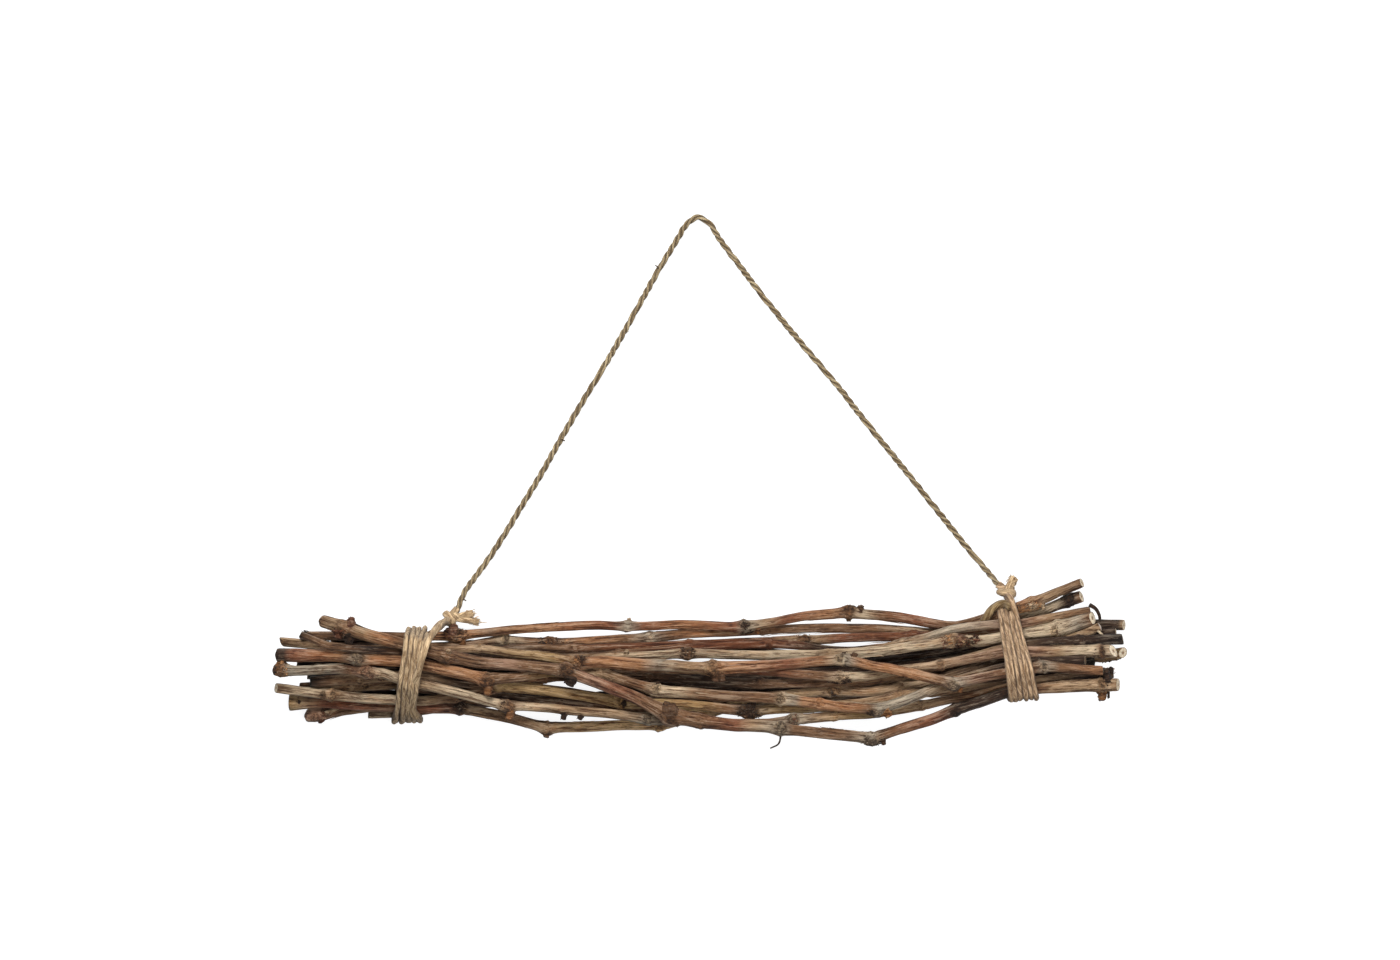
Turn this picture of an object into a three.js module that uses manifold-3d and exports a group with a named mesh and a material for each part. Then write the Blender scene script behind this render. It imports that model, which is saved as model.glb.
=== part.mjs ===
// A bundle of cut vine canes, tied near both ends with jute twine, with a hanging cord tied
// between the two knots. It lies on its back: the canes run along X, the cord lies beyond them
// at +Y, and z = 0 is the surface it rests on. Millimetres, +Z up.

import * as THREE from 'three';
import { mergeVertices } from 'three/addons/utils/BufferGeometryUtils.js';
import Module from 'manifold-3d';

const wasm = await Module();
wasm.setup();

// ---------------------------------------------------------------- driving dimensions

const TWINE = 4;              // thickness of the jute twine
const AIR = 0.4;              // gap left between pieces that touch
const CANE_SIDES = 6;         // flats round a cane
const NODE_HALF = 6;          // half length of the swelling at a node
const BEND_RADIUS = 200;      // how tightly a stiff cane can arch over the ones below it
const STEP = 4;               // spacing at which a cane is laid on the ones below it
const CORD_SIDES = 8;
const CORD_STEP = 12;         // three cord thicknesses
const BAND_SIDES = 48;        // facets round a tie
const SHOULDERED = 1.2;       // swellings above this get a ring on either side
const SEAT_HALF = 12;         // half width of the flat that each tie rests on
const SETTLING = 30;          // passes that settle a cane on the ones below it
const LOOKS_ACROSS = [-1, -0.5, 0, 0.5, 1];   // where a tie feels the canes, in half widths
const LUMP_FACETS = [10, 6];
const ROD_SIDES = 8;
const WELD = 1e-4;            // corners closer than this are one corner

// The sling that the twine makes of the bundle's underside, seen along the canes:
// [x, middle y, half width] at the left ends, left tie, middle, right tie and right ends.
const SLING = [[-300, -10, 42], [-200, -10, 33], [0, -10, 44], [222, 8, 34], [300, 14, 44]];
const SLING_DEPTH = 13;

const COLOURS = {
  bark_red: 0x8a5a3c,
  bark_tan: 0xa08560,
  bark_grey: 0x9b8f7c,
  bark_dark: 0x4a3a2c,
  jute: 0xae9877,
};

// ---------------------------------------------------------------- the twine

// A tie's plane crosses the middle of the bundle at x, and leans along X as y grows. Its lead is
// the twine from the turns to the knot, and each tail ends at [tip, radius there].
const LEFT_TIE = {
  x: -200, middle: -10, lean: 0.17, width: 21,
  lead: [[-188, 15, 57], [-183, 23, 51], [-179, 27, 34], [-175, 30.5, 13]],
  knot: [-175, 30.5, 13],
  tails: [[[-157, 27, 12], 1.6], [[-160, 34, 13], 1.2]],
};
const RIGHT_TIE = {
  x: 221, middle: 8, lean: -0.2, width: 20,
  lead: [[219, 37, 33], [217, 44, 25], [214.5, 48.5, 14]],
  knot: [214.5, 48.5, 14],
  tails: [[[222, 59.5, 13], 2.6]],
};
const KNOT_HALF = [6.3, 5, 5];   // half sizes of a knot

// Middle of the hanging cord. It drops from the left knot to the surface, lies in two nearly
// straight runs with one close bend between them, and rises to the right knot.
const CORD_ROUTE = [
  [-170.5, 36.5, 12.5], [-168.5, 42, 10], [-165.5, 48.5, 6], [-160, 56.5, 3], [-153.5, 65, 2.2],
  [-140, 85, 2.2], [-126, 108, 2.2], [-112, 131, 2.2], [-98, 156, 2.2], [-84, 180, 2.2],
  [-70, 203, 2.2], [-56.5, 226, 2.2], [-42.5, 251, 2.2], [-28.5, 276, 2.2], [-16, 296.5, 2.2],
  [-8.5, 308, 2.2], [-2, 312, 2.2], [5, 309, 2.2], [13.5, 297, 2.2], [27.5, 278.5, 2.2],
  [41.5, 260, 2.2], [55.5, 242.5, 2.2], [69.5, 225.5, 2.2], [83.5, 209, 2.2], [97.5, 192.5, 2.2],
  [111.5, 174.5, 2.2], [125.5, 157, 2.2], [139.5, 140, 2.2], [153.5, 122.5, 2.2],
  [167.5, 105, 2.2], [181.5, 87.5, 2.2], [193, 73.5, 3], [201, 64, 6], [206, 58, 10],
  [209.5, 53.5, 13],
];

// ---------------------------------------------------------------- the canes

// In the order they are laid, lowest first; the numbers are only names. Each path point is
// [x, y, thickness, node swelling], and one with no fourth value is a plain stretch between nodes.
const CANES = [
  { name: 'cane_01', bark: 'dark', path: [
    [-259, 14, 6.5], [-230, 12, 6.5], [-200, 6.5, 6.5], [-154, 6.5, 6.5, 1.15], [-105, 6.5, 6.5],
    [-70, 5, 6.5, 1.15], [-7, 6.5, 6.5], [28, 6.5, 6.5, 1.15], [105, 1.5, 6.5],
    [161, 6.5, 6.5, 1.15], [222, 21, 6.5], [266, 30.5, 6.5]] },
  { name: 'cane_02', bark: 'dark', path: [
    [-256, -1, 6.5], [-200, -1, 6.5], [-154, -0.5, 6.5, 1.15], [-105, -0.5, 6.5], [-70, -2, 6.5],
    [-7, -4.5, 6.5, 1.15], [28, -6, 6.5], [105, -3, 6.5, 1.15], [161, 3, 6.5], [222, 15, 6.5],
    [273, 18, 6.5]] },
  { name: 'cane_03', bark: 'dark', path: [
    [-276, -10, 6.5], [-249, -11, 6.5, 1.15], [-200, -9, 6.5], [-154, -8, 6.5, 1.15],
    [-105, -8, 6.5], [-70, -9.5, 6.5], [-7, -13, 6.5, 1.15], [28, -14.5, 6.5],
    [105, -11, 6.5, 1.15], [161, -4.5, 6.5], [222, 6.5, 6.5], [273, 8, 6.5]] },
  { name: 'cane_04', bark: 'dark', path: [
    [-252, -17, 6.5], [-200, -17, 6.5], [-154, -19, 6.5, 1.15], [-105, -24, 6.5],
    [-70, -26, 6.5, 1.15], [-7, -22, 6.5], [28, -23, 6.5, 1.15], [105, -18.5, 6.5],
    [161, -12, 6.5, 1.15], [222, -2, 6.5], [269, -0.5, 6.5]] },
  { name: 'cane_05', bark: 'dark', path: [
    [-233, -37.5, 6.5], [-212, -37, 6.5], [-154, -29.5, 6.5, 1.15], [-105, -31, 6.5],
    [-70, -33, 6.5, 1.15], [-7, -31, 6.5], [28, -31, 6.5, 1.15], [105, -27, 6.5],
    [161, -22.5, 6.5, 1.15], [190, -21, 6.5], [222, -12, 6.5], [269, -15, 6.5]] },
  { name: 'cane_06', bark: 'dark', path: [
    [-252, -4.5, 6.5], [-200, -4.5, 6.5], [-154, -4, 6.5, 1.15], [-105, -4, 6.5],
    [-70, -5, 6.5, 1.15], [-7, -9, 6.5], [28, -10, 6.5, 1.15], [105, -6.5, 6.5],
    [161, -0.5, 6.5, 1.15], [222, 11, 6.5], [269, 13.5, 6.5]] },
  { name: 'cane_07', bark: 'dark', path: [
    [-256, -13, 6.5], [-200, -13, 6.5], [-154, -13, 6.5, 1.15], [-105, -11, 6.5],
    [-70, -11.5, 6.5, 1.15], [-48, -18, 6.5], [-7, -17.5, 6.5], [28, -18.5, 6.5, 1.15],
    [105, -14.5, 6.5], [161, -8, 6.5, 1.15], [222, 2.5, 6.5], [269, 4, 6.5]] },
  { name: 'cane_08', bark: 'dark', path: [
    [-249, -23, 6.5], [-200, -24, 6.5], [-154, -25, 6.5, 1.15], [-105, -27, 6.5],
    [-70, -29, 6.5, 1.15], [-7, -27, 6.5], [28, -27, 6.5, 1.15], [105, -22, 6.5],
    [161, -15.5, 6.5, 1.15], [222, -6, 6.5], [269, -8, 6.5]] },
  { name: 'cane_09', bark: 'tan', path: [
    [-278, -38.5, 9.5], [-266, -37.5, 8.5, 1.15], [-252, -35, 7], [-231, -32.5, 6.5],
    [-200, -32, 6.5], [-168, -29.5, 6.5, 1.2], [-133, -27.5, 6.5], [-98, -28.5, 6.5],
    [-56, -29, 6.5, 1.2], [0, -27, 6.5], [42, -25, 6.5], [99, -20.5, 7, 1.25], [119, -17, 7],
    [143, -11.5, 7], [168, -7.5, 7, 1.15], [192, -4, 7], [210, -1, 7], [252, 2, 7],
    [283, 3, 7, 1.15], [297, 5.5, 7.5]] },
  { name: 'cane_10', bark: 'grey', path: [
    [-294, 13, 6.5], [-266, 11, 6.5], [-245, 8, 6.5], [-188, 9.5, 6.5], [-161, 11.5, 6],
    [-137, 14.5, 6.5, 1.25], [-105, 12, 7, 1.35], [-84, 13, 7.5], [-56, 15, 7.5],
    [-35, 16.5, 7, 1.3], [-7, 19, 6.5], [24, 20, 6.5], [45, 21.5, 6.5, 1.2], [98, 23, 6.5],
    [126, 22, 6.5], [175, 19, 6.5], [210, 25.5, 6.5], [238, 34, 7], [259, 42.5, 7.5, 1.2],
    [268, 45, 8]] },
  { name: 'cane_11', bark: 'tan', path: [
    [-281, 18, 6.5], [-209, 17, 6.5], [-170, 18, 6.5, 1.35], [-147, 20, 6.5], [-112, 23.5, 6.5],
    [-70, 25, 6.5], [-51, 24, 6.5, 1.25], [-14, 25.5, 6.5], [31, 23.5, 6.5, 1.5], [49, 27, 6.5],
    [70, 31, 6.5], [105, 34, 7, 1.35], [126, 32, 7], [147, 29, 7], [180, 24, 7], [203, 30.5, 7],
    [224, 37.5, 7], [233, 40, 7, 1.3], [252, 48.5, 7], [268, 55, 7]] },
  { name: 'cane_12', bark: 'red', path: [
    [-254, 3, 6.5], [-200, 4, 6.5], [-154, 6.5, 6.5, 1.2], [-119, 9, 6.5], [-88, 9, 6.5, 1.2],
    [-56, 9.5, 6.5], [-7, 11, 6.5, 1.2], [42, 13, 6.5], [73, 14.5, 6.5, 1.25], [98, 15.5, 6.5],
    [150, 17, 6.5, 1.2], [210, 22, 6.5], [252, 25, 6.5, 1.2], [282, 25.5, 7.5], [298, 25, 7.5]] },
  { name: 'cane_14', bark: 'grey', path: [
    [-258, -6.5, 6], [-200, -4.5, 6], [-154, -2.5, 6, 1.2], [-105, 1, 6], [-56, 5, 6, 1.2],
    [0, 9.5, 6], [25, 11, 6], [48, 11.5, 6, 1.2], [70, 10.5, 6], [85, 8.5, 6], [108, 7.5, 6],
    [129, 9.5, 6], [143, 13, 6, 1.2], [161, 17, 6],
    [175, 21.5, 6], [208, 26, 6.5], [225, 26.5, 6.5], [245, 30, 6.5], [262, 33, 6.5],
    [273, 35, 6.5]] },
  { name: 'cane_13', bark: 'grey', path: [
    [-249, -2, 6.5], [-200, 0.5, 6.5], [-154, 1, 6.5, 1.2], [-105, 2.5, 6.5], [-63, 3, 6.5, 1.2],
    [-25, 4.5, 6.5], [-9, 6, 6.5, 1.35], [14, 5, 6.5], [70, 4, 7], [91, 4.5, 7, 1.2], [113, 6, 7],
    [140, 9, 7.5], [161, 11.5, 7.5], [178, 14.5, 8.5, 1.25], [199, 14.5, 8.5], [227, 18.5, 9],
    [241, 20.5, 10.5], [252, 22.5, 12.5, 1.05], [264, 27, 10.5], [275, 30.5, 9.5]] },
  { name: 'cane_16', bark: 'dark', path: [
    [-281, -18.5, 7.5], [-245, -18, 7.5, 1.2], [-214, -17, 7.5], [-189, -20, 7],
    [-161, -21.5, 7, 1.25], [-133, -25, 7], [-98, -29, 7, 1.2], [-63, -33, 7], [-35, -34.5, 7],
    [0, -32.5, 7], [42, -27, 6.5, 1.2], [91, -25, 6.5], [140, -15.5, 6.5, 1.2], [222, -7.5, 6.5],
    [276, -0.5, 6.5]] },
  { name: 'cane_18', bark: 'tan', path: [
    [-288, -29.5, 12], [-278, -29.5, 9.5], [-266, -29, 8], [-245, -30.5, 7.5], [-212, -32, 7.5],
    [-193, -32.5, 7.5], [-168, -32.5, 7.5, 1.25], [-154, -35.5, 7.5], [-133, -40, 7.5],
    [-107, -47, 7.5, 1.35], [-84, -46, 7.5], [-56, -45, 7.5], [-28, -44.5, 7.5, 1.2], [0, -38, 7],
    [28, -29.5, 7], [63, -23, 7], [92, -20.5, 7, 1.25], [119, -21.5, 7], [140, -18.5, 7, 1.2],
    [157, -15.5, 7], [182, -7.5, 6.5], [222, 4.5, 6.5, 1.15], [266, 14.5, 6.5], [278, 18.5, 6.5],
    [292, 20.5, 6]] },
  { name: 'cane_19', bark: 'tan', path: [
    [-297, -19, 7], [-273, -22, 7], [-259, -24, 7, 1.35], [-238, -25.5, 7], [-212, -27, 7],
    [-195, -27, 7], [-172, -25, 7, 1.2], [-140, -18, 7], [-109, -11.5, 7, 1.2], [-70, -10, 7],
    [-35, -11, 7, 1.2], [0, -13.5, 7], [42, -15, 6.5, 1.2], [91, -14.5, 6.5], [140, -9, 6.5, 1.2],
    [182, 1, 6.5], [222, 11, 6.5], [266, 14.5, 7, 1.15], [285, 15, 7.5], [296, 15, 7.5]] },
  { name: 'cane_15', bark: 'grey', path: [
    [-282, -1, 6], [-249, -2, 6.5], [-200, -3, 6.5], [-154, -3, 6.5, 1.2], [-105, -2, 6.5],
    [-56, -4, 6.5, 1.2], [-14, -5.5, 6.5], [17, -4.5, 6.5, 1.2], [42, -6, 6.5], [70, -9, 6.5],
    [98, -11, 6.5, 1.3], [119, -9.5, 6.5], [143, -5, 6.5], [168, -2, 6.5, 1.15], [192, 2.5, 6.5],
    [208, 6, 7.5], [231, 7, 8], [252, 7.5, 8.5], [269, 8, 8.5], [280, 7.5, 9, 1.15],
    [289, 7.5, 9]] },
  { name: 'cane_17', bark: 'tan', path: [
    [-273, -14.5, 8], [-238, -11.5, 8, 1.2], [-193, -10, 8], [-168, -13.5, 8],
    [-140, -16.5, 8, 1.15], [-105, -20, 8], [-70, -26, 8], [-56, -29, 8, 1.2], [-20, -29, 7.5],
    [0, -31, 7.5], [17, -33, 7.5], [35, -34.5, 7.5, 1.45], [52, -33, 7], [75, -32, 7],
    [112, -29, 7], [140, -23.5, 7, 1.2], [175, -18.5, 7], [222, -12, 6.5], [245, -11, 6.5, 1.2],
    [276, -11, 6.5]] },
  { name: 'cane_20', bark: 'grey', path: [
    [-299, -6.5, 7], [-292, -6.5, 7, 1.5], [-280, -6, 7], [-252, -5, 7], [-233, -7.5, 7, 1.3],
    [-221, -8, 7], [-210, -12, 7], [-195, -15.5, 7], [-168, -22, 7], [-135, -31, 7, 1.4],
    [-112, -32, 7], [-84, -34.5, 7], [-56, -37, 7], [-37, -40, 7, 1.25], [0, -41.5, 7],
    [28, -43, 7], [49, -42.5, 7], [66, -40, 7, 1.3], [94, -37.5, 7.5], [117, -36, 7],
    [154, -30.5, 6.5, 1.15], [175, -26, 6.5], [192, -23.5, 6.5], [238, -13, 6.5], [269, -10, 6.5],
    [282, -9, 7, 1.2], [289, -8, 6.5]] },
  { name: 'cane_21', bark: 'red', path: [
    [-297, 4.5, 9.5], [-252, 4.5, 9.5], [-238, 3, 9, 1.2], [-209, 0.5, 8.5], [-192, -2.5, 8.5],
    [-168, -7.5, 8.5], [-149, -12, 8, 1.35], [-126, -10, 7.5], [-105, -6.5, 7.5],
    [-70, -8, 7.5, 1.3], [-53, -13.5, 7], [-31, -20, 8, 1.15], [-7, -22, 8], [28, -24.5, 7.5],
    [57, -25.5, 7.5, 1.25], [84, -29.5, 8], [124, -33, 7, 1.35], [140, -27.5, 7], [154, -22, 7],
    [168, -16.5, 7], [210, -4.5, 7], [238, -0.5, 6.5, 1.15], [269, 1, 6.5]] },
  { name: 'cane_22', bark: 'red', path: [
    [-279, 19, 5], [-259, 11.5, 5], [-188, 8, 5.5], [-154, 9, 6, 1.15], [-140, 7.5, 6.5],
    [-103, 3, 7], [-86, -0.5, 8, 1.3], [-70, 0.5, 8.5], [-42, -2, 8.5], [-21, -2.5, 8.5],
    [9, -4.5, 8, 1.35], [42, -2.5, 7.5], [70, -0.5, 7.5], [101, 2.5, 7.5, 1.3], [119, -2, 7],
    [133, -4.5, 7], [147, -7.5, 7], [161, -11, 7], [176, -14.5, 7, 1.35], [192, -11.5, 6.5],
    [210, -8, 6.5], [239, -3, 7, 1.25], [253, -4, 6.5], [281, -6, 6.5]] },
  { name: 'cane_23', bark: 'red', path: [
    [-266, 29, 9], [-247, 24, 9, 1.2], [-231, 18.5, 8.5], [-209, 13, 8.5], [-177, 4.5, 8.5, 1.25],
    [-154, -0.5, 8.5], [-119, -3, 8.5], [-93, -6, 8.5, 1.3], [-70, -15, 8], [-42, -26, 9],
    [-20, -38, 11, 1.35], [0, -41, 11.5], [24, -44, 8.5], [49, -45, 8.5], [56, -46.5, 8.5, 1.2],
    [70, -48, 7.5], [91, -50, 7.5], [120, -53.5, 7.5, 1.3], [140, -46.5, 7.5], [161, -40, 7.5],
    [178, -33, 7.5, 1.15], [196, -27.5, 7.5], [213, -21.5, 7.5], [238, -18, 7.5], [252, -17, 8.5],
    [280, -16, 8.5, 1.2], [292, -16, 9]] },
];

// ---------------------------------------------------------------- laying the canes

function lerp(a, b, t) {
  return a + (b - a) * t;
}

// Value at x of a line drawn through rows of numbers, the first number of each being its x.
function along(rows, x, column) {
  let k = 1;
  while (k < rows.length - 1 && rows[k][0] < x) k += 1;
  const t = (x - rows[k - 1][0]) / (rows[k][0] - rows[k - 1][0]);
  return lerp(rows[k - 1][column], rows[k][column], Math.min(Math.max(t, 0), 1));
}

// A cane's rings: one at each path point, with a plain one on either side of a real swelling.
function ringsOf(path) {
  const rings = [];
  path.forEach(([x, y, thick, swelling = 1], k) => {
    const inside = k > 0 && k < path.length - 1;
    const shoulder = (side) => {
      const at = x + side * NODE_HALF;
      rings.push({ x: at, y: along(path, at, 1), r: thick / 2, z: 0 });
    };
    const strong = inside && swelling > SHOULDERED;
    if (strong) shoulder(-1);
    rings.push({ x, y, r: thick * swelling / 2, z: 0 });
    if (strong) shoulder(1);
  });
  return rings;
}

function section(rings, x) {
  let k = 1;
  while (k < rings.length - 1 && rings[k].x < x) k += 1;
  const [a, b] = [rings[k - 1], rings[k]];
  const t = (x - a.x) / (b.x - a.x);
  return { k, t, y: lerp(a.y, b.y, t), z: lerp(a.z, b.z, t), r: lerp(a.r, b.r, t) };
}

function reaches(rings, x) {
  return x >= rings[0].x - STEP && x <= rings[rings.length - 1].x + STEP;
}

// The lowest a cane's middle may be at x: above the twine and the sling, and above each cane
// already laid that it would touch.
function lowest(rings, x, laid) {
  const own = section(rings, x);
  const off = Math.min(Math.abs(own.y - along(SLING, x, 1)) / along(SLING, x, 2), 1);
  const sling = SLING_DEPTH * (1 - Math.sqrt(1 - off * off));
  let z = TWINE + AIR + own.r + sling;
  for (const other of laid) {
    if (!reaches(other, x)) continue;
    const its = section(other, x);
    const apart = own.r + its.r + AIR;
    const aside = Math.abs(own.y - its.y);
    if (aside < apart) z = Math.max(z, its.z + Math.sqrt(apart * apart - aside * aside));
  }
  return z;
}

// Sets the height of each ring. A cane leaves what holds it up along a gentle arc, and the
// straight runs between its rings are then raised clear of everything below.
function lay(rings, laid) {
  const stations = [];
  const last = rings[rings.length - 1].x;
  for (let x = rings[0].x; x < last; x += STEP) stations.push(x);
  stations.push(last);
  const need = stations.map((x) => lowest(rings, x, laid));
  const arc = (x) => Math.max(...need.map((z, k) => z - (x - stations[k]) ** 2 / (2 * BEND_RADIUS)));
  for (const ring of rings) ring.z = arc(ring.x);
  for (let pass = 0; pass < SETTLING; pass += 1) {
    for (let k = 1; k < rings.length - 1; k += 1) {
      const [before, ring, after] = rings.slice(k - 1, k + 2);
      const [left, right] = [ring.x - before.x, after.x - ring.x];
      const chord = lerp(before.z, after.z, left / (left + right));
      ring.z = Math.max(ring.z, chord - left * right / (2 * BEND_RADIUS));
    }
    stations.forEach((x, k) => {
      const own = section(rings, x);
      const short = need[k] - own.z;
      if (short <= 0) return;
      rings[own.k - 1].z += short * (1 - own.t);
      rings[own.k].z += short * own.t;
    });
  }
}

// ---------------------------------------------------------------- shapes

// A closed tube of flat-sided rings, each ring standing square to X.
function caneGeometry(rings) {
  const geometry = new THREE.CylinderGeometry(1, 1, rings.length - 1, CANE_SIDES, rings.length - 1);
  geometry.translate(0, (rings.length - 1) / 2, 0);
  const place = geometry.attributes.position;
  for (let i = 0; i < place.count; i += 1) {
    const ring = rings[Math.round(place.getY(i))];
    place.setXYZ(i, ring.x, ring.y - ring.r * place.getX(i), ring.z + ring.r * place.getZ(i));
  }
  geometry.computeVertexNormals();
  return geometry;
}

// The tie's plane leans: it meets y = middle at x, and moves along X as y grows.
function leaningX(tie, y) {
  return tie.x + tie.lean * (y - tie.middle);
}

// Corners of the outline that holds every cane at the tie, offset outwards, in [y, z].
function outline(tie, offset) {
  const sections = [];
  for (const rings of laidRings) {
    for (const part of LOOKS_ACROSS) {
      let x = tie.x;
      for (let pass = 0; pass < 4; pass += 1) {
        x = leaningX(tie, section(rings, x).y) + part * tie.width / 2;
      }
      sections.push(section(rings, x));
    }
  }
  for (const side of [-1, 1]) {
    sections.push({ y: tie.middle + side * SEAT_HALF, z: TWINE + AIR + 1, r: 1 });
  }
  const normals = [];
  for (let k = 0; k < BAND_SIDES; k += 1) {
    const angle = k * 2 * Math.PI / BAND_SIDES - Math.PI / 2;
    const n = [Math.cos(angle), Math.sin(angle)];
    const reach = Math.max(...sections.map((s) => s.y * n[0] + s.z * n[1] + s.r));
    normals.push({ n, reach: reach + offset });
  }
  return normals.map((a, k) => {
    const b = normals[(k + 1) % BAND_SIDES];
    const det = a.n[0] * b.n[1] - a.n[1] * b.n[0];
    return [(a.reach * b.n[1] - b.reach * a.n[1]) / det, (a.n[0] * b.reach - b.n[0] * a.reach) / det];
  });
}

// The wound turns as one band round the bundle, with bevelled outer edges. The lathe only makes
// the faces: every corner of it is then moved to its place.
function bandGeometry(tie) {
  const bevel = TWINE / 3;
  const half = tie.width / 2;
  const profile = [
    [-half, AIR], [-half, AIR + TWINE - bevel], [bevel - half, AIR + TWINE],
    [half - bevel, AIR + TWINE], [half, AIR + TWINE - bevel], [half, AIR],
  ];
  const loops = profile.map(([, offset]) => outline(tie, offset));
  const circle = [...profile, profile[0]].map(([dx, offset]) => new THREE.Vector2(offset, dx));
  const geometry = new THREE.LatheGeometry(circle, BAND_SIDES);
  const place = geometry.attributes.position;
  for (let i = 0; i < place.count; i += 1) {
    const turn = Math.floor(i / circle.length) % BAND_SIDES;
    const corner = (i % circle.length) % profile.length;
    const [y, z] = loops[corner][turn];
    place.setXYZ(i, leaningX(tie, y) + profile[corner][0], y, z);
  }
  return geometry;
}

// A rounded lump: a low sphere stretched to half sizes and set down at a point.
function lump(centre, halfSizes) {
  const geometry = new THREE.SphereGeometry(1, ...LUMP_FACETS);
  geometry.scale(...halfSizes);
  geometry.translate(...centre);
  return geometry;
}

// A tapering rod between two points.
function rod(from, to, startRadius, endRadius) {
  const [a, b] = [new THREE.Vector3(...from), new THREE.Vector3(...to)];
  const geometry = new THREE.CylinderGeometry(endRadius, startRadius, a.distanceTo(b), ROD_SIDES);
  const up = new THREE.Vector3(0, 1, 0);
  const way = b.clone().sub(a).normalize();
  geometry.applyQuaternion(new THREE.Quaternion().setFromUnitVectors(up, way));
  geometry.translate(...a.add(b).multiplyScalar(0.5).toArray());
  return geometry;
}

function solid(geometry) {
  const bare = geometry.clone();
  bare.deleteAttribute('normal');
  bare.deleteAttribute('uv');
  const merged = mergeVertices(bare, WELD);
  const vertProperties = new Float32Array(merged.attributes.position.array);
  const triVerts = new Uint32Array(merged.index.array);
  return new wasm.Manifold(new wasm.Mesh({ numProp: 3, vertProperties, triVerts }));
}

function joined(geometries) {
  const mesh = geometries.map(solid).reduce((whole, next) => whole.add(next)).getMesh();
  const geometry = new THREE.BufferGeometry();
  geometry.setAttribute('position', new THREE.BufferAttribute(mesh.vertProperties, 3));
  geometry.setIndex(new THREE.BufferAttribute(mesh.triVerts, 1));
  geometry.computeVertexNormals();
  return geometry;
}

// ---------------------------------------------------------------- the parts

const bundle = new THREE.Group();
bundle.name = 'bundle_of_twigs';

function addPart(name, geometry, colour) {
  const color = COLOURS[colour];
  const material = new THREE.MeshStandardMaterial({ color, roughness: 0.9, metalness: 0 });
  const mesh = new THREE.Mesh(geometry, material);
  mesh.name = name;
  bundle.add(mesh);
}

const laidRings = [];
for (const { name, bark, path } of CANES) {
  const rings = ringsOf(path);
  lay(rings, laidRings);
  laidRings.push(rings);
  addPart(name, caneGeometry(rings), `bark_${bark}`);
}

// Each tie is one length of twine: the turns, the twine that leaves them over the bundle's top
// edge and runs down its side, the knot at the end of it, and the frayed tails.
function addTie(name, tie) {
  const pieces = [bandGeometry(tie)];
  for (let k = 1; k < tie.lead.length; k += 1) {
    pieces.push(rod(tie.lead[k - 1], tie.lead[k], TWINE / 2, TWINE / 2));
    pieces.push(lump(tie.lead[k], [TWINE / 2, TWINE / 2, TWINE / 2]));
  }
  pieces.push(lump(tie.knot, KNOT_HALF));
  for (const [tip, radius] of tie.tails) pieces.push(rod(tie.knot, tip, TWINE / 2, radius));
  addPart(name, joined(pieces), 'jute');
}

addTie('left_tie', LEFT_TIE);
addTie('right_tie', RIGHT_TIE);

// The hanging cord, lying on the surface from one knot up to its bend and back to the other.
function cordGeometry() {
  const curve = new THREE.CatmullRomCurve3(CORD_ROUTE.map((point) => new THREE.Vector3(...point)));
  const section = new THREE.Shape();
  for (let k = 0; k < CORD_SIDES; k += 1) {
    const angle = (k + 0.5) * 2 * Math.PI / CORD_SIDES;
    const [u, v] = [TWINE / 2 * Math.cos(angle), TWINE / 2 * Math.sin(angle)];
    if (k === 0) section.moveTo(u, v);
    else section.lineTo(u, v);
  }
  section.closePath();
  const steps = Math.round(curve.getLength() / CORD_STEP);
  return new THREE.ExtrudeGeometry(section, { steps, extrudePath: curve, bevelEnabled: false });
}

addPart('hanging_cord', cordGeometry(), 'jute');

export default bundle;
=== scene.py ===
"""Looks for a bundle of vine canes tied with jute twine, lying on its back.

Metres, in the CAD model's frame: X along the canes, +Y towards the hanging cord's bend, Z up.
"""

import math

import bpy
import numpy as np
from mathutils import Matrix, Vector


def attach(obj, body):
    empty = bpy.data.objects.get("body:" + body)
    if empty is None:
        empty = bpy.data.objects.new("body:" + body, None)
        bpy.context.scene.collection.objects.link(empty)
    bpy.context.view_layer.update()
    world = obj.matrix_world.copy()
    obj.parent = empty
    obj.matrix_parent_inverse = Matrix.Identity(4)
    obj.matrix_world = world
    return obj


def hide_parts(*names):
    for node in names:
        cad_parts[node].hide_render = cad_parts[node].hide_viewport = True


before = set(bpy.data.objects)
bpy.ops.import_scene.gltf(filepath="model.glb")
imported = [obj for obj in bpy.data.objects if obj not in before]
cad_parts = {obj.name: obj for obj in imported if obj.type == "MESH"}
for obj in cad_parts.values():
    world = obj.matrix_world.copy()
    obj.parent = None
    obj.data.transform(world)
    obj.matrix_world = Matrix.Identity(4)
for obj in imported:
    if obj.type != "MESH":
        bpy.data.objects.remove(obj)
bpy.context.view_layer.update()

MM = 0.001
TAU = 2 * math.pi

# ------------------------------------------------------------------ view and light

VIEW_WIDTH = 0.98                  # what the picture's width spans at the canes
VIEW_CENTRE = (0.0, 0.127)         # point of the surface below the middle of the picture
VIEW_HEIGHT = 0.035                # height of the canes that the span is measured at
LENS = 200.0
SENSOR = 36.0
FLOOR_HALF = 6.0
FLOOR_DROP = 0.0002                # keeps the floor just below what lies on it
LIGHT_TARGET = (0, 0.05, 0)
LIGHTS = [
    # name, place, size, power
    ("key", (-0.35, 1.2, 1.7), 0.7, 54),
    ("overhead", (0.3, -0.3, 2.2), 0.8, 18.5),
    ("end_fill", (1.5, -0.1, 0.9), 0.6, 8),
]


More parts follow.
